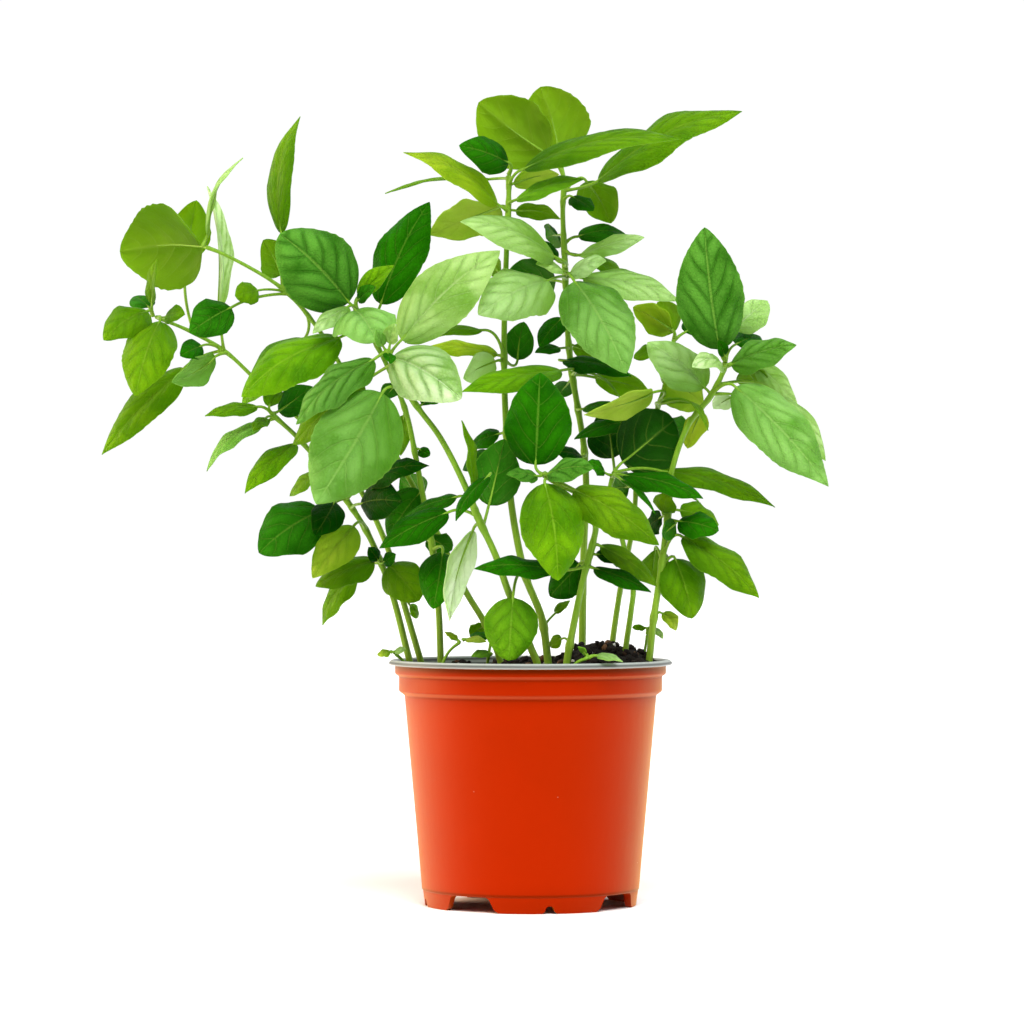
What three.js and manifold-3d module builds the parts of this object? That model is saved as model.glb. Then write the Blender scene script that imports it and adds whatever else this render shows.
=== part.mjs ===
// A potted basil: a 13 cm plastic nursery pot, its potting soil, eleven leafy stems and five seedlings.
// Millimetres, +Z up, +X to the right and +Y away from the viewer. The plant is drawn round the pot's
// axis, and the last lines move it so that the origin lies under the middle of its whole outline.
import * as THREE from "three";
import { mergeVertices } from "three/addons/utils/BufferGeometryUtils.js";
import Module from "manifold-3d";

const wasm = await Module();
wasm.setup();

// Pot
const POT_HEIGHT = 112.5;
const RIM_RADIUS = 65;
const RIM_DEPTH = 2.7;
const UPPER_COLLAR_RADIUS = 62.2;
const LOWER_COLLAR_RADIUS = 60.4;
const COLLAR_STEP_HEIGHT = 105.6;
const SHOULDER_HEIGHT = 97.3;
const SHOULDER_RADIUS = 57.8;
const HEEL_RADIUS = 49.8;
const WALL = 1.1;
const FLOOR_HEIGHT = 7.2;
const FLOOR_THICKNESS = 1.2;
const FOOT_OUTER_RADIUS = 48.4;
const FOOT_INNER_RADIUS = 45.4;
const ROUNDING = 0.6;
const POT_SIDES = 32;

// Feet: four, with a gap between each pair and a small notch in the middle of each
const FOOT_COUNT = 4;
const FIRST_FOOT_AZIMUTH = 10;
const FOOT_GAP_WIDTH_ABOVE = 20.5;
const FOOT_GAP_WIDTH_BELOW = 26;
const NOTCH_WIDTH = 4.6;
const NOTCH_HEIGHT = 3.5;
const NOTCH_TOP_WIDTH = 0.4;
const DRAIN_HOLES = 6;
const DRAIN_HOLE_RADIUS = 4;
const DRAIN_RING_RADIUS = 33;
const DRAIN_HOLE_SIDES = 8;

// Soil
const CLEARANCE = 0.3;
const SOIL_RADIUS = 58.2;
const SOIL_EDGE_HEIGHT = 106;
const SOIL_SIDES = 20;
const SOIL_RINGS = [SOIL_RADIUS, 52, 42, 31, 19, 8, 0];
const SOIL_SLOPE = 1.6 / SOIL_RADIUS;
const LUMP_HEIGHT = 0.7;
const LUMP_SPACING_X = 4.1;
const LUMP_SPACING_Y = 5.3;
const MOUNDS = [
  { x: 32, y: 2, radius: 34, height: 12.5 },
  { x: -31, y: -14, radius: 11, height: 7 },
  { x: -8, y: 18, radius: 20, height: 5 },
];

// Leaves and stems. A stalk thickens with the length of its blade up to its full radius, and its bend
// lies a share of its reach before the blade. A blade's outline is a hump whose powers shape it.
const STEM_SIDES = 6;
const SEEDLING_SIDES = 4;
const SEEDLING_RADIUS = 1;
const STALK_RADIUS = 0.75;
const THINNEST_STALK_RADIUS = 0.5;
const STALK_RADIUS_PER_LENGTH = 0.01;
const STALK_BEND = 0.45;
const STALK_FLAT_SIDE = 0.4;
const SHORT_STALK = 7;
const BLADE_THICKNESS = 0.8;
const RISE_POWER = 0.8;
const FOOT_POWER = 0.66;
const TIP_POWER = 0.88;
const TIP_TAPER_START = 0.35;
const BLADE_LENGTHS_FOR_MORE_RINGS = [15, 30, 50];
const FEWEST_BLADE_RINGS = 2;

// A leaf: the height where its stalk leaves the stem, the two ends of its blade, the blade's width,
// the turn of its upper face (0 looks to the viewer, 90 up and 180 away), the rise of its arch as a
// share of its length, and the angle by which its halves bend up from the midrib.
function leaf(height, base, tip, width, turn, arch, fold) {
  return { height, base, tip, width, turn, arch, fold };
}

// A stem: its radius at the foot and at the top, the points that it passes, and its leaves.
function stem(name, footRadius, topRadius, route, leaves) {
  return { name, footRadius, topRadius, route, leaves };
}

const LEAFY_STEMS = [
  stem("leafy_stem_left_low", 2.0, 1.2,
    [[-50, 6, 92], [-56, 6, 113], [-63, 8, 140], [-69, 9, 157], [-76, 10, 172], [-88, 12, 190],
     [-106, 14, 213], [-120, 15, 226]], [
      leaf(225, [-126, 12, 229], [-150, 4, 225], 12, 55, 0.06, -15),
      leaf(224, [-124, 14, 221], [-151, 18, 200], 12, 55, 0.16, -10),
      leaf(213, [-108, 8, 212], [-131, -6, 189], 14, 30, 0.08, -15),
      leaf(226, [-121, 15, 229], [-117, 24, 239], 9, 20, 0.05, 10),
      leaf(226, [-117, 18, 227], [-102, 30, 239], 14, 160, 0.05, -10),
      leaf(224, [-122, 10, 224], [-127, -2, 218], 8, 30, 0.06, -10),
      leaf(200, [-99, 20, 199], [-113, 30, 188], 9, 40, 0.05, -10),
      leaf(187, [-96, 2, 181], [-124, -12, 162], 28, 15, 0.08, -15),
      leaf(187, [-90, 0, 185], [-98, -16, 170], 16, 0, 0.08, -12),
      leaf(172, [-81, -4, 174], [-99, -24, 151], 19, 20, 0.06, -12),
      leaf(157, [-72, 6, 158], [-99, 0, 147], 18, 40, 0.08, -15),
      leaf(157, [-80, 18, 152], [-98, 26, 128], 15, 45, 0.1, -15),
      leaf(182, [-78, -2, 184], [-59, -26, 185], 19, 15, 0.06, -15),
      leaf(190, [-80, 20, 194], [-71, 32, 209], 13, 155, 0.05, -10),
      leaf(158, [-70, 4, 158], [-74, -4, 164], 7, 20, 0.05, -10),
      leaf(158, [-68, 4, 157], [-62, -3, 161], 7, 20, 0.05, -10),
      leaf(186, [-76, 0, 192], [-47, -26, 202], 15, 45, 0.12, -15),
      leaf(157, [-65, 2, 156], [-51, -6, 140], 20, 10, 0.08, -12),
    ]),
  stem("leafy_stem_far_left", 1.9, 0.9,
    [[-45, 18, 92], [-51, 18, 112], [-59, 20, 139], [-68, 24, 168], [-84, 30, 198], [-106, 34, 222],
     [-129, 36, 243], [-142, 35, 255], [-157, 32, 264], [-176, 28, 272]], [
      leaf(272, [-178, 24, 274], [-197, 8, 260], 20, 25, 0.14, -15),
      leaf(271, [-172, 20, 269], [-181, -6, 234], 26, 10, 0.12, -18),
      leaf(271, [-170, 24, 271], [-160, 12, 272], 10, 30, 0.1, -10),
      leaf(256, [-162, 38, 248], [-201, 32, 208], 21, 35, 0.05, -10),
      leaf(255, [-147, 30, 253], [-167, 20, 241], 16, 140, -0.06, -12),
      leaf(256, [-145, 27, 275], [-149, 22, 332], 18, 74, 0.04, 20),
      leaf(264, [-162, 50, 300], [-158, 58, 328], 20, 170, 0.05, -10),
      leaf(272, [-176, 24, 277], [-174, 20, 298], 8, 50, 0.05, 10),
      leaf(258, [-153, 28, 258], [-162, 16, 253], 11, 10, 0.06, -10),
      leaf(272, [-178, 30, 276], [-186, 42, 282], 12, 40, 0.06, -10),
      leaf(150, [-56, 26, 137], [-52, 34, 131], 6, 40, 0.1, -10),
    ]),
  stem("leafy_stem_left_high", 1.9, 0.9,
    [[-11, 8, 92], [-14, 8, 112], [-21, 7, 129], [-30, 6, 144], [-46, 5, 177], [-60, 4, 203],
     [-67, 4, 214], [-84, 5, 242], [-98, 6, 265], [-114, 6, 283], [-141, 6, 299], [-151, 7, 303]], [
      leaf(302, [-152, 10, 303], [-192, 42, 303], 42, 165, 0.06, -12),
      leaf(303, [-149, 8, 308], [-134, 0, 344], 14, 86, 0.1, 0),
      leaf(283, [-115, 10, 309], [-109, 20, 365], 17, 45, 0.1, -10),
      leaf(283, [-115, 12, 290], [-124, 26, 307], 17, 155, 0.06, -10),
      leaf(282, [-125, -2, 282], [-135, -12, 279], 12, 10, 0.08, -12),
      leaf(281, [-137, -6, 274], [-155, -18, 262], 19, 0, 0.08, -15),
      leaf(271, [-105, 12, 260], [-135, 26, 231], 22, 40, 0.08, -12),
      leaf(128, [-20, 14, 128], [-28, 24, 123], 9, 150, 0.05, -10),
      leaf(180, [-50, 16, 186], [-60, 40, 196], 18, 160, 0.06, -10),
    ]),
  stem("leafy_stem_left_mid", 1.9, 1.2,
    [[-40, -12, 92], [-41, -12, 112], [-42, -12, 136], [-45, -11, 165], [-50, -10, 192], [-53, -9, 208],
     [-57, -9, 226], [-66, -9, 248], [-80, -8, 274]], [
      leaf(273, [-83, -10, 276], [-114, -18, 307], 38, 12, 0.06, -14),
      leaf(273, [-79, -4, 279], [-63, -4, 294], 11, 30, 0.05, 15),
      leaf(273, [-79, -10, 277], [-71, -18, 283], 8, 30, 0.05, 10),
      leaf(273, [-83, -14, 274], [-99, -26, 262], 12, 40, 0.06, -15),
      leaf(256, [-69, 6, 276], [-47, 18, 325], 25, 15, 0.04, -12),
      leaf(271, [-80, -16, 272], [-69, -42, 257], 31, 25, 0.1, -15),
      leaf(261, [-87, -12, 260], [-132, -22, 234], 31, 40, 0.08, -18),
      leaf(193, [-50, -4, 190], [-66, 2, 168], 20, 20, 0.06, -12),
      leaf(166, [-47, -6, 169], [-36, 0, 163], 13, 150, 0.05, -10),
      leaf(163, [-40, -22, 162], [-44, -36, 137], 20, 5, 0.1, -15),
      leaf(228, [-58, -2, 225], [-60, 2, 206], 9, 30, 0.04, 0),
      leaf(208, [-51, -10, 209], [-46, -12, 206], 6, 20, 0.05, -10),
    ]),
  stem("leafy_stem_front_left", 2.1, 1.3,
    [[1, -42, 92], [3, -43, 111], [0, -44, 119], [-10, -46, 144], [-16, -48, 161], [-23, -49, 176],
     [-31, -50, 195], [-41, -51, 214], [-50, -52, 226], [-59, -53, 239], [-64, -54, 252]], [
      leaf(252, [-62, -58, 249], [-31, -76, 230], 30, 15, 0.12, -20),
      leaf(252, [-70, -58, 248], [-105, -66, 220], 22, 40, 0.08, -18),
      leaf(246, [-75, -46, 238], [-108, -42, 211], 22, 30, 0.06, -12),
      leaf(250, [-58, -50, 257], [-14, -40, 299], 29, 15, 0.05, -8),
      leaf(228, [-66, -64, 233], [-95, -76, 184], 40, 5, 0.07, -12),
      leaf(228, [-49, -48, 228], [-39, -40, 233], 9, 40, 0.05, 10),
      leaf(238, [-60, -46, 238], [-67, -38, 231], 9, 150, 0.05, -5),
      leaf(251, [-63, -54, 255], [-61, -58, 264], 8, 20, 0.05, 15),
      leaf(251, [-66, -56, 254], [-69, -62, 261], 6, 20, 0.05, 15),
      leaf(250, [-64, -60, 251], [-62, -68, 246], 6, 30, 0.05, -5),
      leaf(178, [-33, -42, 187], [-57, -32, 179], 11, 55, 0.06, -15),
      leaf(178, [-37, -46, 180], [-68, -50, 164], 16, 28, 0.06, -14),
      leaf(175, [-26, -44, 172], [-37, -38, 131], 14, 150, 0.05, -12),
      leaf(173, [-19, -40, 183], [-12, -34, 213], 23, 172, 0.05, -10),
      leaf(181, [-26, -54, 191], [-30, -58, 221], 10, 65, 0.03, 10),
      leaf(186, [-19, -60, 196], [-34, -74, 177], 11, 50, 0.06, -12),
    ]),
  stem("leafy_stem_centre", 2.2, 1.3,
    [[11, -26, 92], [8, -26, 111], [5, -25, 132], [-2, -23, 150], [-7, -20, 172], [-10, -17, 195],
     [-11, -15, 215], [-12, -12, 240], [-12, -9, 268], [-11, -6, 300], [-10, -4, 325], [-10, -4, 336]], [
      leaf(335, [-10, -8, 340], [-32, -22, 347], 18, 20, 0.1, -12),
      leaf(318, [-15, -8, 321], [-57, -20, 345], 18, 50, 0.12, -10),
      leaf(316, [-14, 4, 321], [-47, 28, 310], 22, 145, 0.06, -10),
      leaf(333, [-18, 8, 334], [-68, 30, 331], 12, 86, 0.04, 0),
      leaf(330, [-3, -10, 337], [68, -28, 350], 20, 50, 0.09, -10),
      leaf(330, [-8, -2, 331], [13, 0, 336], 12, 140, 0.05, -8),
      leaf(322, [-7, -8, 323], [24, -16, 333], 13, 50, 0.05, -10),
      leaf(318, [-7, 2, 319], [14, 4, 316], 11, 130, 0.1, -10),
      leaf(288, [-14, 2, 290], [-20, 12, 298], 9, 150, 0.05, -10),
      leaf(250, [-22, -18, 263], [-57, -30, 258], 12, 60, 0.08, -12),
      leaf(252, [-15, -8, 252], [-49, 6, 257], 13, 55, 0.05, -10),
      leaf(249, [-16, -14, 249], [-31, -22, 241], 15, 150, 0.05, -10),
      leaf(250, [-6, 0, 250], [-3, 6, 268], 14, 175, 0.04, -8),
      leaf(216, [-14, -12, 216], [-28, -4, 211], 11, 40, 0.08, -12),
      leaf(151, [-8, -53, 142], [-10, -59, 114], 25, 0, 0.06, -12),
      leaf(128, [11, -20, 134], [18, -16, 140], 5, 40, 0.1, -5),
      leaf(206, [-18, -6, 206], [-32, 6, 200], 11, 40, 0.1, -12),
    ]),
  stem("leafy_stem_back_tall", 2.2, 1.3,
    [[23, 26, 92], [24, 26, 112], [24.5, 26, 140], [25, 25, 165], [26, 24, 190], [25, 22, 210],
     [22, 20, 229], [19, 18, 247], [17, 16, 268], [16, 14, 295], [15, 12, 322], [16, 12, 334]], [
      leaf(333, [8, 12, 346], [-24, 24, 371], 34, 168, 0.06, -10),
      leaf(333, [14, 22, 344], [5, 42, 380], 36, 170, 0.06, -10),
      leaf(329, [31, 8, 333], [96, 0, 367], 26, 48, 0.1, -10),
      leaf(328, [26, 20, 334], [38, 34, 316], 20, 150, 0.08, -10),
      leaf(324, [19, 8, 326], [29, 0, 319], 11, 40, 0.06, -10),
      leaf(304, [22, 16, 308], [48, 24, 308], 14, 50, 0.16, -12),
      leaf(302, [23, 8, 299], [52, -2, 307], 15, 50, 0.05, -10),
      leaf(300, [28, 24, 298], [45, 36, 291], 11, 40, 0.06, -10),
      leaf(308, [13, 20, 309], [8, 36, 309], 13, 150, 0.05, -10),
      leaf(296, [12, 14, 297], [3, 20, 307], 9, 40, 0.1, -10),
      leaf(294, [11, -8, 297], [-31, -36, 312], 24, 48, 0.08, -12),
      leaf(291, [15, -2, 291], [3, -16, 294], 9, 50, 0.05, -12),
      leaf(291, [18, 0, 290], [34, -16, 295], 13, 45, 0.05, -12),
      leaf(289, [24, 4, 288], [69, 0, 279], 19, 40, 0.1, -12),
      leaf(288, [20, -6, 286], [43, -38, 244], 32, 12, 0.08, -12),
      leaf(288, [8, -10, 286], [-23, -42, 270], 30, 22, 0.1, -15),
      leaf(270, [15, 6, 270], [4, -4, 256], 12, 30, 0.05, -10),
      leaf(256, [14, 10, 256], [2, 4, 254], 8, 50, 0.1, -10),
      leaf(250, [15, 6, 250], [46, -10, 243], 15, 50, 0.06, -14),
      leaf(244, [30, 24, 243], [56, 18, 236], 14, 150, 0.06, -10),
      leaf(258, [20, 24, 258], [34, 30, 252], 10, 140, 0.06, -10),
      leaf(246, [19, 10, 246], [42, -2, 233], 7, 85, 0.12, 0),
      leaf(208, [24, 16, 206], [12, 6, 208], 12, 50, 0.08, -10),
      leaf(228, [24, 14, 228], [40, 6, 230], 9, 60, 0.06, -10),
      leaf(241, [18, 26, 241], [12, 38, 234], 11, 150, 0.06, -10),
      leaf(286, [12, 22, 288], [-10, 34, 292], 22, 150, 0.05, -10),
      leaf(244, [14, -9, 245], [-31, -40, 235], 19, 48, 0.06, -12),
    ]),
  stem("leafy_stem_front_centre", 2.1, 1.4,
    [[15, -38, 92], [16, -39, 111], [18, -40, 123], [24, -42, 152], [28, -43, 167], [29, -45, 174],
     [24, -50, 186], [12, -54, 193], [4, -56, 198]], [
      leaf(196, [2, -53, 201], [4, -44, 243], 31, 5, 0.03, -12),
      leaf(197, [7, -60, 197], [27, -74, 200], 14, 40, 0.05, -12),
      leaf(197, [3, -60, 196], [-11, -72, 197], 9, 45, 0.05, -12),
      leaf(195, [6, -60, 193], [12, -72, 150], 30, 10, 0.08, -14),
      leaf(193, [19, -58, 190], [57, -66, 166], 23, 30, 0.08, -14),
      leaf(156, [12, -50, 154], [-25, -60, 156], 13, 42, 0.06, -14),
      leaf(157, [22, -38, 157], [8, -30, 142], 18, 20, 0.05, -12),
      leaf(156, [28, -44, 155], [54, -50, 145], 11, 45, 0.06, -14),
      leaf(161, [29, -40, 161], [42, -32, 155], 9, 50, 0.2, -10),
      leaf(165, [31, -40, 165], [58, -34, 147], 12, 35, 0.05, -12),
      leaf(120, [14, -34, 123], [8, -30, 120], 7, 30, 0.06, -10),
    ]),
  stem("leafy_stem_right_inner", 1.8, 1.0,
    [[36, 12, 92], [37, 12, 112], [42, 12, 147], [45, 13, 161], [48, 14, 177], [49, 15, 190],
     [52, 16, 205], [58, 18, 225], [64, 20, 245], [67, 22, 262]], [
      leaf(261, [66, 20, 265], [48, 26, 276], 17, 140, 0.05, -10),
      leaf(261, [67, 26, 264], [60, 40, 279], 17, 160, 0.05, -10),
      leaf(250, [58, 24, 257], [48, 24, 252], 9, 40, 0.06, -10),
      leaf(240, [62, 12, 242], [80, 0, 230], 22, 150, 0.08, -10),
      leaf(232, [56, -6, 235], [23, -27, 225], 15, 140, -0.08, -20),
      leaf(212, [44, 8, 222], [20, -2, 215], 12, 50, 0.06, -10),
      leaf(222, [60, 26, 222], [74, 38, 217], 16, 150, 0.06, -10),
      leaf(229, [60, 2, 230], [81, -36, 219], 7, 85, 0.14, 0),
      leaf(190, [46, 24, 192], [34, 44, 188], 20, 40, 0.08, -12),
      leaf(260, [72, 24, 264], [88, 36, 272], 16, 40, 0.06, -10),
    ]),
  stem("leafy_stem_right_mid", 1.8, 1.2,
    [[43, -6, 92], [43, -6, 112], [46, -7, 135], [47, -7, 145], [44, -8, 159], [40, -9, 175],
     [36, -10, 189], [38, -11, 198]], [
      leaf(197, [42, -16, 197], [78, -30, 187], 16, 50, 0.06, -12),
      leaf(198, [60, -2, 199], [113, 4, 183], 15, 45, 0.08, -12),
      leaf(196, [41, -20, 195], [57, -32, 180], 7, 70, 0.06, 0),
      leaf(198, [42, -6, 203], [66, 8, 223], 36, 165, 0.06, -12),
      leaf(198, [38, 4, 205], [35, 22, 227], 22, 170, 0.05, -10),
      leaf(197, [34, -14, 198], [26, -20, 203], 9, 50, 0.1, -10),
    ]),
  stem("leafy_stem_right", 2.1, 1.3,
    [[51, -10, 92], [54, -10, 111], [56, -11, 130], [59, -12, 150], [61, -13, 165], [63, -13, 183],
     [64, -13, 197], [72, -14, 220], [82, -15, 233], [88, -16, 245], [89, -16, 250]], [
      leaf(249, [86, -20, 254], [79, -28, 309], 32, 8, 0.04, -10),
      leaf(248, [91, -20, 247], [120, -30, 256], 19, 40, 0.08, -14),
      leaf(248, [87, -24, 246], [73, -38, 246], 13, 50, 0.2, -12),
      leaf(234, [93, -22, 237], [134, -40, 192], 28, 15, 0.12, -14),
      leaf(246, [103, -6, 248], [124, 8, 229], 15, 30, 0.06, -12),
      leaf(238, [114, -4, 233], [137, 6, 204], 14, 30, 0.06, -12),
      leaf(246, [98, -8, 246], [106, 4, 236], 15, 150, 0.06, -10),
      leaf(249, [94, -8, 257], [106, 4, 262], 13, 40, 0.06, -10),
      leaf(250, [93, -4, 264], [109, 2, 278], 18, 30, 0.06, -10),
      leaf(249, [88, -22, 251], [85, -28, 258], 6, 20, 0.05, 10),
      leaf(234, [92, -10, 233], [84, 0, 228], 10, 150, 0.06, -10),
      leaf(226, [78, -6, 226], [72, 4, 210], 13, 150, 0.06, -10),
      leaf(232, [80, -6, 237], [54, 4, 259], 24, 30, 0.06, -10),
      leaf(180, [68, -10, 181], [87, -2, 175], 16, 40, 0.1, -12),
      leaf(177, [67, -18, 176], [85, -28, 172], 15, 30, 0.08, -14),
      leaf(158, [69, -18, 169], [104, -26, 142], 20, 35, 0.05, -12),
      leaf(178, [60, -8, 178], [53, 2, 172], 12, 40, 0.06, -10),
      leaf(180, [60, -16, 180], [62, -24, 188], 12, 20, 0.05, -10),
      leaf(172, [66, -16, 175], [59, -26, 169], 10, 150, 0.06, -10),
      leaf(156, [66, -10, 159], [74, -16, 132], 23, 20, 0.08, -12),
      leaf(158, [57, -4, 163], [56, 4, 147], 16, 150, 0.05, -10),
      leaf(188, [66, -6, 189], [79, 4, 184], 7, 75, 0.1, 0),
      leaf(132, [60, -8, 134], [67, -4, 126], 8, 35, 0.3, -12),
    ]),
];

const SEEDLINGS = [
  stem("seedling_left", 0.9, 0.7,
    [[-52, -10, 96], [-55, -10, 108], [-60, -11, 114], [-63, -12, 116]], [
      leaf(116, [-64, -12, 116.5], [-70, -13, 115], 7, 60, 0.1, -10),
      leaf(116, [-62, -12, 116.5], [-57, -13, 118], 6, 60, 0.1, -10),
    ]),
  stem("seedling_left_middle", 0.9, 0.7,
    [[-42, -26, 96], [-41, -26, 108], [-37, -26, 117], [-31, -27, 122]], [
      leaf(122, [-30, -27, 122.5], [-20, -29, 122], 6, 60, 0.08, -10),
      leaf(121, [-33, -26, 122], [-39, -24, 126], 5, 60, 0.08, -10),
    ]),
  stem("seedling_centre", 0.9, 0.7,
    [[-20, -22, 96], [-20, -22, 108], [-19, -22, 116], [-18, -22, 122]], [
      leaf(121, [-19, -21, 123], [-28, -15, 124], 6, 50, 0.1, -10),
      leaf(121, [-17, -21, 122], [-11, -18, 126], 6, 130, 0.1, -10),
      leaf(115, [-18, -23, 116], [-27, -27, 115], 6, 50, 0.1, -10),
    ]),
  stem("seedling_front", 0.9, 0.7,
    [[15, -53, 96], [16, -53, 106], [20, -54, 112.5], [27, -55, 115.5]], [
      leaf(115, [29, -55, 116], [41, -57, 114], 7, 65, 0.1, -10),
      leaf(114.5, [25, -54, 116.5], [21, -52, 120], 5, 120, 0.1, -10),
    ]),
  stem("seedling_right", 0.9, 0.7,
    [[50, 8, 96], [51, 8, 108], [53, 7, 118], [54, 6, 125]], [
      leaf(124, [55, 5, 127], [61, 3, 122], 6, 60, 0.2, -10),
      leaf(124, [53, 7, 127], [47, 9, 127], 6, 120, 0.1, -10),
    ]),
];

const FRONT = new THREE.Vector3(0, -1, 0);
const SAME_PLACE = 1e-5;
const radians = THREE.MathUtils.degToRad;

// A closed geometry as a solid, and a solid as a geometry
function solidFrom(geometry) {
  const bare = geometry.clone();
  bare.deleteAttribute("normal");
  bare.deleteAttribute("uv");
  const merged = mergeVertices(bare, SAME_PLACE);
  const vertProperties = new Float32Array(merged.attributes.position.array);
  const triVerts = new Uint32Array(merged.index.array);
  return new wasm.Manifold(new wasm.Mesh({ numProp: 3, vertProperties, triVerts }));
}

function geometryFrom(solid) {
  const mesh = solid.getMesh();
  const geometry = new THREE.BufferGeometry();
  geometry.setAttribute("position", new THREE.BufferAttribute(mesh.vertProperties, 3));
  geometry.setIndex(new THREE.BufferAttribute(mesh.triVerts, 1));
  geometry.computeVertexNormals();
  return geometry;
}

function geometryOf(points, triangles) {
  const geometry = new THREE.BufferGeometry();
  geometry.setFromPoints(points);
  geometry.setIndex(triangles.flat());
  return geometry;
}

// The lathe turns about Y, and the pot stands along Z
function turned(outline, sides) {
  const points = outline.map(([radius, height]) => new THREE.Vector2(radius, height));
  return new THREE.LatheGeometry(points, sides).rotateX(Math.PI / 2);
}

function potOutline() {
  const underRim = POT_HEIGHT - RIM_DEPTH;
  const outside = [
    [0, FLOOR_HEIGHT],
    [FOOT_INNER_RADIUS, FLOOR_HEIGHT],
    [FOOT_INNER_RADIUS, 0],
    [FOOT_OUTER_RADIUS, 0],
    [HEEL_RADIUS - ROUNDING, FLOOR_HEIGHT],
    [HEEL_RADIUS, FLOOR_HEIGHT + ROUNDING],
    [SHOULDER_RADIUS, SHOULDER_HEIGHT - 1],
    [LOWER_COLLAR_RADIUS, SHOULDER_HEIGHT + 1],
    [LOWER_COLLAR_RADIUS, COLLAR_STEP_HEIGHT - ROUNDING],
    [UPPER_COLLAR_RADIUS, COLLAR_STEP_HEIGHT + ROUNDING],
    [UPPER_COLLAR_RADIUS, underRim - ROUNDING / 2],
    [RIM_RADIUS - ROUNDING, underRim],
    [RIM_RADIUS, underRim + ROUNDING],
    [RIM_RADIUS, POT_HEIGHT - 1.5 * ROUNDING],
    [RIM_RADIUS - 1.5 * ROUNDING, POT_HEIGHT],
  ];
  const inside = [
    [UPPER_COLLAR_RADIUS - 0.2, POT_HEIGHT],
    [UPPER_COLLAR_RADIUS - WALL, POT_HEIGHT - 1.5 * ROUNDING],
    [UPPER_COLLAR_RADIUS - WALL, COLLAR_STEP_HEIGHT + 2 * ROUNDING],
    [LOWER_COLLAR_RADIUS - WALL, COLLAR_STEP_HEIGHT],
    [LOWER_COLLAR_RADIUS - WALL, SHOULDER_HEIGHT + 1 + ROUNDING],
    [SHOULDER_RADIUS - WALL, SHOULDER_HEIGHT - 1 + ROUNDING],
    [HEEL_RADIUS - WALL, FLOOR_HEIGHT + FLOOR_THICKNESS],
    [0, FLOOR_HEIGHT + FLOOR_THICKNESS],
  ];
  return [...outside, ...inside];
}

// A cutter that passes out through the foot ring at an azimuth counted from the front to the right
function footCutter(widthAbove, widthBelow, height, azimuth) {
  const below = -1;
  const outline = new THREE.Shape([
    new THREE.Vector2(-widthBelow / 2, below),
    new THREE.Vector2(widthBelow / 2, below),
    new THREE.Vector2(widthAbove / 2, height),
    new THREE.Vector2(-widthAbove / 2, height),
  ]);
  const depth = RIM_RADIUS - FOOT_INNER_RADIUS / 2;
  const cutter = new THREE.ExtrudeGeometry(outline, { depth, bevelEnabled: false });
  cutter.rotateX(Math.PI / 2);
  cutter.translate(0, -FOOT_INNER_RADIUS / 2, 0);
  cutter.rotateZ(radians(azimuth));
  return solidFrom(cutter);
}

function drainCutter(index) {
  const tall = 4 * FLOOR_THICKNESS;
  const radius = DRAIN_HOLE_RADIUS;
  const cutter = new THREE.CylinderGeometry(radius, radius, tall, DRAIN_HOLE_SIDES);
  cutter.rotateX(Math.PI / 2);
  cutter.translate(0, DRAIN_RING_RADIUS, FLOOR_HEIGHT);
  cutter.rotateZ((index * 2 * Math.PI) / DRAIN_HOLES);
  return solidFrom(cutter);
}

function potSolid() {
  let pot = solidFrom(turned(potOutline(), POT_SIDES));
  const pitch = 360 / FOOT_COUNT;
  for (let foot = 0; foot < FOOT_COUNT; foot++) {
    const azimuth = FIRST_FOOT_AZIMUTH + foot * pitch;
    const gap = footCutter(FOOT_GAP_WIDTH_ABOVE, FOOT_GAP_WIDTH_BELOW, FLOOR_HEIGHT, azimuth + pitch / 2);
    const notch = footCutter(NOTCH_TOP_WIDTH, NOTCH_WIDTH, NOTCH_HEIGHT, azimuth);
    pot = pot.subtract(gap).subtract(notch);
  }
  for (let hole = 0; hole < DRAIN_HOLES; hole++) {
    pot = pot.subtract(drainCutter(hole));
  }
  return pot;
}

// The soil's surface: a level that slopes up to the right, with rounded mounds and a little unevenness
function soilHeight(x, y) {
  let height = SOIL_EDGE_HEIGHT + SOIL_SLOPE * x;
  for (const mound of MOUNDS) {
    const distance = Math.hypot(x - mound.x, y - mound.y) / mound.radius;
    height += mound.height * Math.exp(-2 * distance * distance);
  }
  return height + LUMP_HEIGHT * Math.sin(x / LUMP_SPACING_X) * Math.cos(y / LUMP_SPACING_Y);
}

function soilSolid(rooted) {
  const floor = FLOOR_HEIGHT + FLOOR_THICKNESS + CLEARANCE;
  const outline = [
    [0, floor],
    [HEEL_RADIUS - WALL - 2 * CLEARANCE, floor],
    [SHOULDER_RADIUS - WALL - 3 * CLEARANCE, SHOULDER_HEIGHT - 1],
    [SOIL_RADIUS, SHOULDER_HEIGHT + 3],
    ...SOIL_RINGS.map((radius) => [radius, SOIL_EDGE_HEIGHT]),
  ];
  const geometry = turned(outline, SOIL_SIDES);
  const place = geometry.attributes.position;
  for (let i = 0; i < place.count; i++) {
    if (place.getZ(i) > SOIL_EDGE_HEIGHT - 1) {
      place.setZ(i, soilHeight(place.getX(i), place.getY(i)));
    }
  }
  let soil = solidFrom(geometry);
  for (const plant of rooted) {
    soil = soil.subtract(stemRod(plant, CLEARANCE));
  }
  return soil;
}

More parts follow.
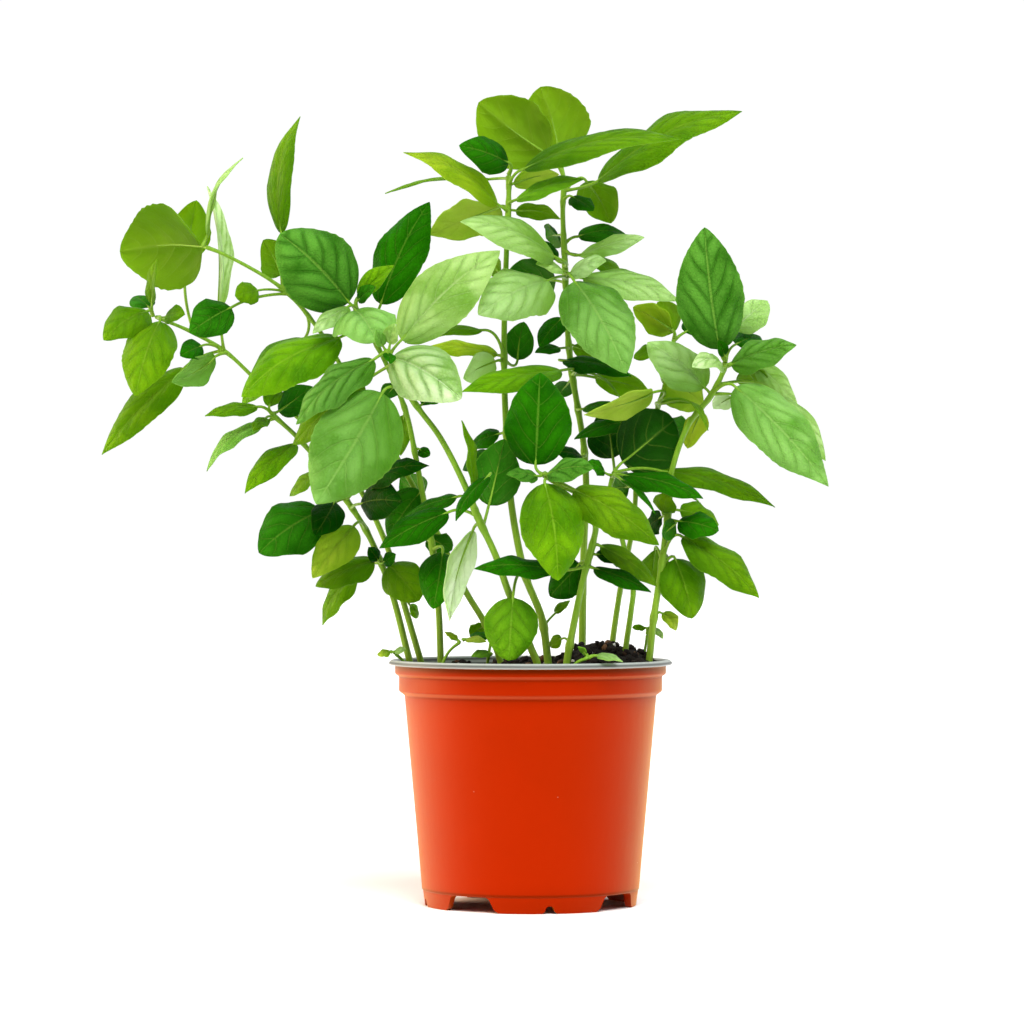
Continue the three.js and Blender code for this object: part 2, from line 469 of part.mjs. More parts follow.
// A closed rod of flat-sided rings along a curve, with a radius that changes evenly between its ends
function rod(curve, steps, sides, startRadius, endRadius) {
  const frames = curve.computeFrenetFrames(steps, false);
  const points = [];
  const triangles = [];
  for (let step = 0; step <= steps; step++) {
    const share = step / steps;
    const middle = curve.getPointAt(share);
    const radius = startRadius + (endRadius - startRadius) * share;
    for (let side = 0; side < sides; side++) {
      const angle = (2 * Math.PI * side) / sides;
      const point = middle.clone();
      point.addScaledVector(frames.normals[step], radius * Math.cos(angle));
      point.addScaledVector(frames.binormals[step], radius * Math.sin(angle));
      points.push(point);
    }
  }
  const startCap = points.length;
  points.push(curve.getPointAt(0), curve.getPointAt(1));
  for (let side = 0; side < sides; side++) {
    const next = (side + 1) % sides;
    const last = steps * sides;
    triangles.push([startCap, next, side], [startCap + 1, last + side, last + next]);
    for (let step = 0; step < steps; step++) {
      const low = step * sides;
      const high = low + sides;
      triangles.push([low + side, low + next, high + next], [low + side, high + next, high + side]);
    }
  }
  return solidFrom(geometryOf(points, triangles));
}

function stemCurve(plant) {
  return new THREE.CatmullRomCurve3(plant.route.map((place) => new THREE.Vector3(...place)));
}

function stemRod(plant, extra) {
  const route = stemCurve(plant);
  if (extra > 0) {
    const foot = route.points[0];
    foot.add(foot.clone().sub(route.points[1]).setLength(extra));
  }
  const steps = plant.route.length - 1;
  const sides = plant.footRadius > SEEDLING_RADIUS ? STEM_SIDES : SEEDLING_SIDES;
  return rod(route, steps, sides, plant.footRadius + extra, plant.topRadius + extra);
}

// The place on the stem at a height, found by halving, because every stem climbs all the way
function stemPlace(curve, height) {
  let low = 0;
  let high = 1;
  while (high - low > 1e-4) {
    const middle = (low + high) / 2;
    if (curve.getPointAt(middle).z < height) {
      low = middle;
    } else {
      high = middle;
    }
  }
  return curve.getPointAt(low);
}

// The directions of a blade: along its midrib, out of its upper face, and across it
function bladeFrame(shape) {
  const base = new THREE.Vector3(...shape.base);
  const along = new THREE.Vector3(...shape.tip).sub(base);
  const length = along.length();
  along.normalize();
  const front = FRONT.clone().addScaledVector(along, -FRONT.dot(along)).normalize();
  const up = new THREE.Vector3().crossVectors(along, front);
  if (up.z < 0) {
    up.negate();
  }
  const turn = radians(shape.turn);
  const facing = front.multiplyScalar(Math.cos(turn)).addScaledVector(up, Math.sin(turn));
  const across = new THREE.Vector3().crossVectors(along, facing);
  return { base, along, length, facing, across };
}

// The stalk's rings of three points, turned so that they end square with the blade. The stalk bends
// from the stem's middle into the line of the blade.
function stalkRings(shape, frame, curve) {
  const start = stemPlace(curve, shape.height);
  const reach = frame.base.distanceTo(start);
  const bend = frame.base.clone().addScaledVector(frame.along, -STALK_BEND * reach);
  const line = new THREE.QuadraticBezierCurve3(start, bend, frame.base);
  const hinge = new THREE.Vector3().crossVectors(bend.clone().sub(start), frame.along);
  if (hinge.length() < 0.01 * reach) {
    hinge.copy(frame.across);
  }
  hinge.normalize();
  const inward = new THREE.Vector3().crossVectors(frame.along, hinge);
  const steps = reach < SHORT_STALK ? 1 : 2;
  const grown = THINNEST_STALK_RADIUS + STALK_RADIUS_PER_LENGTH * frame.length;
  const radius = Math.min(STALK_RADIUS, grown);
  const flatSide = STALK_FLAT_SIDE * radius;
  const rings = [];
  for (let step = 0; step <= steps; step++) {
    const direction = line.getTangent(step / steps);
    const turnedInward = new THREE.Vector3().crossVectors(direction, hinge);
    const sideways = turnedInward.multiplyScalar(frame.across.dot(inward));
    sideways.addScaledVector(hinge, frame.across.dot(hinge)).normalize();
    const over = new THREE.Vector3().crossVectors(sideways, direction).normalize();
    const middle = line.getPoint(step / steps);
    rings.push([
      middle.clone().addScaledVector(sideways, radius).addScaledVector(over, flatSide),
      middle.clone().addScaledVector(sideways, -radius).addScaledVector(over, flatSide),
      middle.clone().addScaledVector(over, -radius),
    ]);
  }
  return rings;
}

// A blade's breadth at a share of its length: ovate, broadest a little below its middle, tapering to
// a point
function bladeBreadth(share) {
  const taper = THREE.MathUtils.smoothstep(share, TIP_TAPER_START, 1);
  const power = FOOT_POWER + (TIP_POWER - FOOT_POWER) * taper;
  return Math.sin(Math.PI * share ** RISE_POWER) ** power;
}

// Two rings of a blade at the least, and one more for each of the given lengths that it exceeds
function bladeRingCount(length) {
  const passed = BLADE_LENGTHS_FOR_MORE_RINGS.filter((limit) => length > limit);
  return FEWEST_BLADE_RINGS + passed.length;
}

// The blade's rings of six points, upper face from right to left and lower face back, on an arched
// midrib with bent halves
function bladeRings(shape, frame) {
  const { base, along, length, facing, across } = frame;
  const fold = radians(shape.fold);
  const count = bladeRingCount(length);
  const rings = [];
  for (let ring = 1; ring <= count; ring++) {
    const share = (1 - Math.cos((Math.PI * ring) / (count + 1))) / 2;
    const half = (shape.width / 2) * bladeBreadth(share);
    const arch = 4 * shape.arch * length * share * (1 - share);
    const midrib = base.clone().addScaledVector(along, length * share).addScaledVector(facing, arch);
    const point = (side, face) => {
      const corner = midrib.clone().addScaledVector(across, side * half * Math.cos(fold));
      const rise = Math.abs(side) * half * Math.sin(fold) + (face * BLADE_THICKNESS) / 2;
      return corner.addScaledVector(facing, rise);
    };
    rings.push([point(1, 1), point(0, 1), point(-1, 1), point(-1, -1), point(0, -1), point(1, -1)]);
  }
  return rings;
}

// A leaf with its stalk as one closed body. Both faces of the blade are split into triangles alike.
function leafSolid(shape, curve) {
  const frame = bladeFrame(shape);
  const stalk = stalkRings(shape, frame, curve);
  const blade = bladeRings(shape, frame);
  const points = [...stalk.flat(), ...blade.flat()];
  const tip = points.length;
  const end = frame.base.clone().addScaledVector(frame.along, frame.length);
  points.push(end.clone().addScaledVector(frame.facing, BLADE_THICKNESS / 2));
  points.push(end.addScaledVector(frame.facing, -BLADE_THICKNESS / 2));
  const triangles = [[0, 1, 2]];
  const strip = (low, high, order) => {
    for (const [a, b] of order) {
      triangles.push([low + a, high + a, high + b], [low + a, high + b, low + b]);
    }
  };
  for (let ring = 0; ring < stalk.length - 1; ring++) {
    strip(3 * ring, 3 * ring + 3, [[0, 1], [1, 2], [2, 0]]);
  }
  const [right, left, under] = [0, 1, 2].map((corner) => 3 * (stalk.length - 1) + corner);
  const first = 3 * stalk.length;
  triangles.push([right, first, first + 1], [right, first + 1, left], [left, first + 1, first + 2]);
  triangles.push([left, first + 2, first + 3], [left, first + 3, first + 4]);
  triangles.push([left, first + 4, under], [under, first + 4, right]);
  triangles.push([right, first + 4, first + 5], [right, first + 5, first]);
  for (let ring = 0; ring < blade.length - 1; ring++) {
    const low = first + 6 * ring;
    const high = low + 6;
    triangles.push([low, high, high + 1], [low, high + 1, low + 1]);
    triangles.push([low + 1, high + 1, high + 2], [low + 1, high + 2, low + 2]);
    triangles.push([low + 5, high + 4, high + 5], [low + 5, low + 4, high + 4]);
    triangles.push([low + 4, high + 3, high + 4], [low + 4, low + 3, high + 3]);
    triangles.push([low + 2, high + 2, high + 3], [low + 2, high + 3, low + 3]);
    triangles.push([low + 5, high + 5, high], [low + 5, high, low]);
  }
  const last = first + 6 * (blade.length - 1);
  triangles.push([last, tip, last + 1], [last + 1, tip, last + 2]);
  triangles.push([last + 5, last + 4, tip + 1], [last + 4, last + 3, tip + 1]);
  triangles.push([last + 2, tip, tip + 1], [last + 2, tip + 1, last + 3]);
  triangles.push([last + 5, tip + 1, tip], [last + 5, tip, last]);
  return solidFrom(geometryOf(points, triangles));
}

function plantSolid(plant) {
  const curve = stemCurve(plant);
  let solid = stemRod(plant, 0);
  for (const shape of plant.leaves) {
    solid = solid.add(leafSolid(shape, curve));
  }
  return solid;
}

function finish(color, roughness) {
  return new THREE.MeshStandardMaterial({ color, roughness, metalness: 0 });
}

const terracottaPlastic = finish(0xcd2c01, 0.42);
const blackSoil = finish(0x1c1410, 0.95);
const basilGreen = finish(0x4f8f1a, 0.5);

const potted = new THREE.Group();

function place(name, solid, material) {
  const mesh = new THREE.Mesh(geometryFrom(solid), material);
  mesh.name = name;
  potted.add(mesh);
}

const rooted = [...LEAFY_STEMS, ...SEEDLINGS];
place("pot", potSolid(), terracottaPlastic);
place("potting_soil", soilSolid(rooted), blackSoil);
for (const plant of rooted) {
  place(plant.name, plantSolid(plant), basilGreen);
}

const outline = new THREE.Box3().setFromObject(potted);
const middle = outline.getCenter(new THREE.Vector3());
potted.position.set(-middle.x, -middle.y, 0);

export default potted;
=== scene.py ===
"""A potted basil: fine leaves, stems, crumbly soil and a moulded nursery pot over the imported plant."""

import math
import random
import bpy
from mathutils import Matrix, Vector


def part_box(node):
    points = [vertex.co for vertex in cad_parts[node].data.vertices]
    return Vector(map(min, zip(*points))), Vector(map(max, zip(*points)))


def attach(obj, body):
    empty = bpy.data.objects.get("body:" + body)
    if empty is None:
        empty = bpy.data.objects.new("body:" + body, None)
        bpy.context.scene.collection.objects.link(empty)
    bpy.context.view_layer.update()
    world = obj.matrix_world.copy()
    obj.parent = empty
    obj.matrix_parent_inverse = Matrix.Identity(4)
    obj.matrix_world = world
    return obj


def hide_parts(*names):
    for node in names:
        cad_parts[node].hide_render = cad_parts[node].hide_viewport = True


bl_info = {
    "name": "Potted basil",
    "version": (1, 0, 0),
    "blender": (4, 5, 0),
    "location": "View3D > Sidebar > Basil",
    "description": "Builds a basil plant with its leaves, stems, soil and nursery pot",
    "category": "Add Mesh",
}

from types import SimpleNamespace

import bmesh
import bpy
from bpy.props import FloatProperty, FloatVectorProperty, IntProperty, PointerProperty
from bpy.types import Operator, Panel, PropertyGroup
from mathutils import Euler, Matrix, Vector, noise

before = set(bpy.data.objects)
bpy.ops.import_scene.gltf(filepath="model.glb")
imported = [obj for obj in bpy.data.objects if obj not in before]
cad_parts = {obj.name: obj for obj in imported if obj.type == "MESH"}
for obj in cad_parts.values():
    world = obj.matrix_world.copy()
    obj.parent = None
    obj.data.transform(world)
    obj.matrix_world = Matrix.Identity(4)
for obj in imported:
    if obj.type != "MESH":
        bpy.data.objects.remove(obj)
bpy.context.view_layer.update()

MM = 0.001
POT_LOW, POT_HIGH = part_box("pot")
POT_AXIS = Vector(((POT_LOW.x + POT_HIGH.x) / 2, (POT_LOW.y + POT_HIGH.y) / 2, 0))
RIM_RADIUS = (POT_HIGH.x - POT_LOW.x) / 2
SEED = 7
# Points of one piece that are nearer than this are merged
SAME_PLACE = 0.0005 * MM

# A blade's outline: the powers that set its widest place and how blunt its foot and its tip are, and
# where its tip begins. The broader the blade, the blunter its tip.
RISE_POWER = 0.8
BASE_POWER = 0.66
NARROW_TIP = 1.16
TIP_BLUNTING = 0.62
TIP_LIMITS = (0.55, 0.98)
TIP_START = 0.35

# Its side veins: how many pairs there are, and how they run and wander from the midrib to the margin
BASIC_PAIRS = 2.3
LENGTH_PER_PAIR = 21 * MM
PAIR_LIMITS = (2.5, 5.4)
VEIN_SLANT = 0.52
VEIN_CURVE = 1.25
VEIN_SHIFT = 0.3
VEIN_WANDER = 0.07
WANDERS_ALONG = 1.7
WANDERS_ACROSS = 0.5

# Its relief: pillows between the side veins, higher on wide and on puckered blades, and lower at the
# margin, a groove along the midrib and a scalloped margin
WIDE_BLADE = 30 * MM
PILLOW_LIMITS = (0.15, 1.25)
PUCKER = 1.9
PILLOW_POWER = 0.75
PILLOW_START = 0.26
PILLOW_FALL = 0.75
GROOVE_DEPTH = 0.12
GROOVE_REACH = 0.11
SCALLOP = 0.016
SCALLOP_START = 0.6

# Its bends: how steeply its halves fall or rise, how far in its margin's waves reach, and where its
# tip begins to curl down
FALLING_FOLD = 1.5
RISING_FOLD = 1.15
WAVE_POWER = 2.5
CURL_START = 0.55
CURL_HINGE = 0.3

# Each leaf's own small accidents, from the least to the most: shares of a count, an angle, shares of the
# blade's length or half width, waves along a margin, and how much lighter one half is, as painted light
# on one half and painted shade on the other
PAIRS_CHANCE = (0.92, 1.08)
TIP_CHANCE = (0.94, 1.06)
TWIST = (math.radians(-20), math.radians(20))
SWAY = (-0.030, 0.030)
CURL = (0.01, 0.08)
WAVE = (0.06, 0.17)
WAVES = (1.3, 2.6)
CUPPING = (0.05, 0.13)
LIT_HALF = (-0.30, 0.30)
TONE_CHANCE = (-0.07, 0.07)

# The fewest and the most points along a blade and across half of it, and how they crowd at its ends
BLADE_STEPS = (9, 46)
HALF_BLADE_SIDES = (3, 13)
CROWDING = 0.45
LEAF_SHARPNESS = math.radians(52)

# Painted light and shade on a leaf: it is lighter towards its tip and along its middle, and darker
# towards its foot and its margins
TIP_LIGHT = 0.95
EVEN_ALONG = 0.46
MIDDLE_LIGHT = 0.25
EVEN_ACROSS = 0.4

# Stalks are swollen at the stem, and run on beneath the blade as its midrib
STALK_BEND = 0.45
STALK_STEP = 1.6 * MM
STALK_SIDES = 8
THINNEST_STALK = 0.5 * MM
THICKEST_STALK = 0.75 * MM
STALK_PER_LENGTH = 0.01
STALK_SWELLING = 0.5
SWELLING_REACH = 2.2 * MM
STALK_TAPER = 0.12
STALK_START = 0.1
STALK_TONE = 0.75
MIDRIB_REACH = 0.86
MIDRIB_STEP = 4 * MM
MIDRIB_SHARE = 0.86
MIDRIB_SINK = 0.3
MIDRIB_DROP = 0.75
MIDRIB_START = 0.10

# Stems: the visible ones are slimmer than the solids', squarish, and swollen at their joints
STEM_SLIMNESS = 0.80
ROUTE_STEPS = 12
STEM_STEP = 1.7 * MM
STEM_SIDES = 16
STEM_SQUARENESS = 0.09
STEM_FACING = (0.3, -1, 0.1)
JOINT_REACH = 2.0 * MM
JOINT_SWELLING = 0.28
PALE_FOOT = 0.6
STEM_END = 0.4

# The pot's section: how far within the rim's radius, and how far below its top, the points of its
# rolled lip and of its collars and shoulder lie, upwards
NECK_INSET = 2.8 * MM
COLLAR_INSET = 4.6 * MM
SHOULDER_INSET = 7.2 * MM
HEEL_INSET = 15.2 * MM
NECK_DEPTH = 2.6 * MM
LIP = [(0.4 * MM, 2.3 * MM), (0, 1.8 * MM), (0, 1.1 * MM), (1.1 * MM, 0)]
COLLARS = [(SHOULDER_INSET, 16.2 * MM), (COLLAR_INSET, 14.2 * MM), (COLLAR_INSET, 7.5 * MM),
           (NECK_INSET, 6.3 * MM)]
FOOT_WIDTH = 3 * MM
FOOT_INSET = 1.4 * MM
LEDGE = 0.4 * MM
INSIDE_RISE = 0.6 * MM
INSIDE_EDGE = 0.9 * MM
FLOOR_THICKNESS = 1.2 * MM
LIP_FLAT = 0.2 * MM
CORNER_RADIUS = 0.5 * MM
CORNER_SHARE = 0.4
POT_SHARPNESS = math.radians(35)

# Grey plastic reaches this far down from the rim's top. It covers what faces inwards above the foot,
# and what faces upwards no higher than the floor.
GREY_RIM = 2.48 * MM
GREY_ABOVE_FOOT = 1.0 * MM
GREY_FLOOR = 4 * MM

# The pot's feet and holes
FEET = 4
FIRST_FOOT = math.radians(10)
GAP_ABOVE = 20.5 * MM
GAP_BELOW = 26 * MM
GAP_FLARE = 1.3 * MM
NOTCH_WIDTH = 4.6 * MM
NOTCH_TAPER = 0.6 * MM
NOTCH_HEIGHT = 3.5 * MM
NOTCH_FLARE = 1.1 * MM
DRAIN_HOLES = 6
DRAIN_SIDES = 28
DRAIN_RADIUS = 4 * MM
DRAIN_RING = 33 * MM
DRAIN_DEPTH = 8 * MM
CUT_OUTSIDE = 0.75 * RIM_RADIUS + 6 * MM
CUT_DEPTH = 18 * MM
CUT_BELOW = 1 * MM
CUT_CLEARANCE = 0.03 * MM

# The soil, heaped towards the right: each mound's place, reach and height
SOIL_RADIUS = 58.2 * MM
SOIL_EDGE_HEIGHT = 106 * MM
SOIL_SIDE_TOP = SOIL_EDGE_HEIGHT - 8 * MM
SOIL_FOOT_RADIUS = SOIL_RADIUS - 10.1 * MM
SOIL_BOTTOM = POT_HIGH.z - 103.8 * MM
SOIL_SLOPE = 1.6 * MM
SOIL_BOTTOM_START = 0.7
MOUNDS = [
    (32 * MM, 2 * MM, 34 * MM, 12.5 * MM),
    (-31 * MM, -14 * MM, 11 * MM, 7 * MM),
    (-8 * MM, 18 * MM, 20 * MM, 5 * MM),
]
# Its lumps and pits: the size and the height of each sort. Along its edge they are lower.
LUMPS = (9 * MM, 1.5 * MM)
CLODS = (4.2 * MM, 1.9 * MM)
CRUMBLES = (1.9 * MM, 0.65 * MM)
CALM_EDGE = 3 * MM
CALM_SHARE = 0.3
SOIL_ROWS = 74
SOIL_SIDE_ROWS = 6
SOIL_SIDES = 220
SOIL_SHADES = 5 * MM
SOIL_LIGHT = 0.3
SOIL_UNEVENNESS = 0.4
SOIL_MIDDLE_ROWS = 4
SOIL_SHARPNESS = math.radians(80)
GRAIN_MARGIN = 2.5 * MM
GRAIN_ROUGHNESS = 0.35
GRAIN_LUMPS = 1.6
GRAIN_RISE = 0.25
NOISE_RANGE = 50
# How far a grain is stretched each way
STRETCHES = ((0.7, 1.5), (0.7, 1.3), (0.6, 1.0))
# The sizes of crumbs, chips and white grains
CRUMB_SIZES = (2.0 * MM, 4.6 * MM)
CHIP_SIZES = (2.0 * MM, 4.5 * MM)
PERLITE_SIZES = (1.0 * MM, 2.4 * MM)

# Painted shade on the orange plastic, under the rim, over the collars and in the creases below them: how
# far below the rim's top, how far around it at full strength, how far in all, and how strongly. Then the
# painted shade in its crease over the feet, in the same order, the heights that the painted shade over
# its feet fades out between, and how light the deepest painted shade is.
SHADE_BELOW_RIM = [
    (2.4 * MM, 0.6 * MM, 3.6 * MM, 0.85),
    (2.4 * MM, 4 * MM, 26 * MM, 0.16),
    (7.6 * MM, 0.2 * MM, 0.9 * MM, 0.26),
    (16.5 * MM, 0.2 * MM, 0.9 * MM, 0.32),
]
HEEL_CREASE_HEIGHT = 0.7 * MM
HEEL_CREASE_SHADE = (0.3 * MM, 1.0 * MM, 0.56)
SHADED_FOOT = (3 * MM, 14 * MM)
FOOT_SHADE = 0.19
DEEPEST_SHADE = 0.32

# The painted highlight lines on the steps and the rim, below the rim's top, how far around them at full
# strength and in all, and the colours of the painted highlights, of sheens and of dust on plastic
LIT_STEPS = (6.5 * MM, 15.2 * MM)
LIT_RIM = (0.1 * MM, 2.4 * MM)
PAINTED_HIGHLIGHT_WIDTH = (0.3 * MM, 0.9 * MM)
ORANGE_PAINTED_HIGHLIGHT = (0.62, 0.17, 0.08)
GREY_PAINTED_HIGHLIGHT = (0.62, 0.68, 0.66)
ORANGE_SHEEN = (1.0, 0.52, 0.03)
WHITE = (1.0, 1.0, 1.0)
DUST = (0.80, 0.62, 0.52)

# About how large the patterns of the surfaces are
LEAF_NET = 1.7 * MM
LEAF_BLOTCHES = 12 * MM
PAINTED_SHEEN_PATCHES = 18 * MM
LEAF_GRAIN = 1.2 * MM
LEAF_SHEEN = 6 * MM
UNDERSIDE_BLOTCHES = 9 * MM
STEM_STREAKS = 1.5 * MM
POT_HAZE = 45 * MM
POT_RIPPLES = 4 * MM
POT_SHEEN = 3 * MM
POT_GRAIN = 0.6 * MM
SPECK_SPACING = 7.5 * MM
SPECK_CLUSTERS = 22 * MM
SOIL_GRAINS = 2.2 * MM
SOIL_PITS = 1.2 * MM
PAPER_TOOTH = 1.5 * MM

# The two lamps, a soft sun and a panel: the size of each, its place from the pot's axis and its colour.
# Then the height that they shine at, the floor, and the camera's sensor (in millimetres) and sight.
KEY_ANGLE = math.radians(36)
KEY_PLACE = (0.13, -1.12, 1.60)
KEY_COLOUR = (1.0, 0.98, 0.95)
LEFT_SIZE = 1.2
LEFT_PLACE = (-1.6, 0.30, 0.45)
LEFT_COLOUR = (1.0, 0.72, 0.40)
LIT_HEIGHT = 0.2
FLOOR_RADIUS = 9
FLOOR_SIDES = 96
SENSOR_WIDTH = 36
FARTHEST_SEEN = 50
# The white light: where it fades in, from the front to behind and from below to above, and how bright
# the backdrop looks
FADES_BEHIND = (-0.5, 0.6)
FADES_ABOVE = (-0.1, 1.0)
BACKDROP = 1.02

# Leaves of like age share a finish: their tones, the colour of the light through them, its share, and
# the roughness and the gloss of their upper faces
LEAF_GROUPS = [
    ("dark", ("nearly_black", "dark", "deep"), (0.06, 0.52, 0.003), 0.24, 0.34, 1.16),
    ("middle", ("olive", "middle", "fresh", "half_pale", "cushioned"), (0.42, 0.80, 0.02),
     0.36, 0.38, 1.36),
    ("young", ("backlit", "young", "pale", "pale_under"), (0.55, 0.86, 0.05), 0.44, 0.42, 1.40),
]
STEM_INDEX = 2 * len(LEAF_GROUPS)
PUCKERED = ("cushioned", "pale_under")
# The letters that name a leaf's tone. A leaf in a light part of the plant has a capital letter and is
# painted lighter, as painted light; a leaf with a small letter is painted darker, as painted shade.
LIGHT_LEAF = (0.75, 1.0)
SHADED_LEAF = (0.35, 0.6)
TONES = {
    "k": "nearly_black", "d": "dark", "g": "deep", "o": "olive", "m": "middle", "f": "fresh",
    "s": "half_pale", "c": "cushioned", "b": "backlit", "y": "young", "p": "pale", "u": "pale_under",
}


def from_axis(x, y, z):
    """A place counted in millimetres from the pot's axis, in metres of the frame"""
    return POT_AXIS + Vector((x, y, z)) * MM


def leaf(height, base, tip, width, turn, arch, fold, tone):
    """A leaf: the height where its stalk leaves the stem, its blade's ends and width in millimetres, the
    turn of its upper face (0 looks to the viewer, 90 up, 180 away), its arch as a share of its length,
    the fold along its midrib in degrees and its tone's letter"""
    return SimpleNamespace(height=height * MM, base=from_axis(*base), tip=from_axis(*tip),
                           width=width * MM, turn=math.radians(turn), arch=arch,
                           fold=math.radians(fold), tone=tone)


def stem(name, foot_radius, top_radius, route, leaves):
    """A stem: its node, its radius at the foot and at the top, the points that it passes, its leaves"""
    return SimpleNamespace(name=name, foot_radius=foot_radius * MM, top_radius=top_radius * MM,
                           route=[from_axis(*place) for place in route], leaves=leaves)


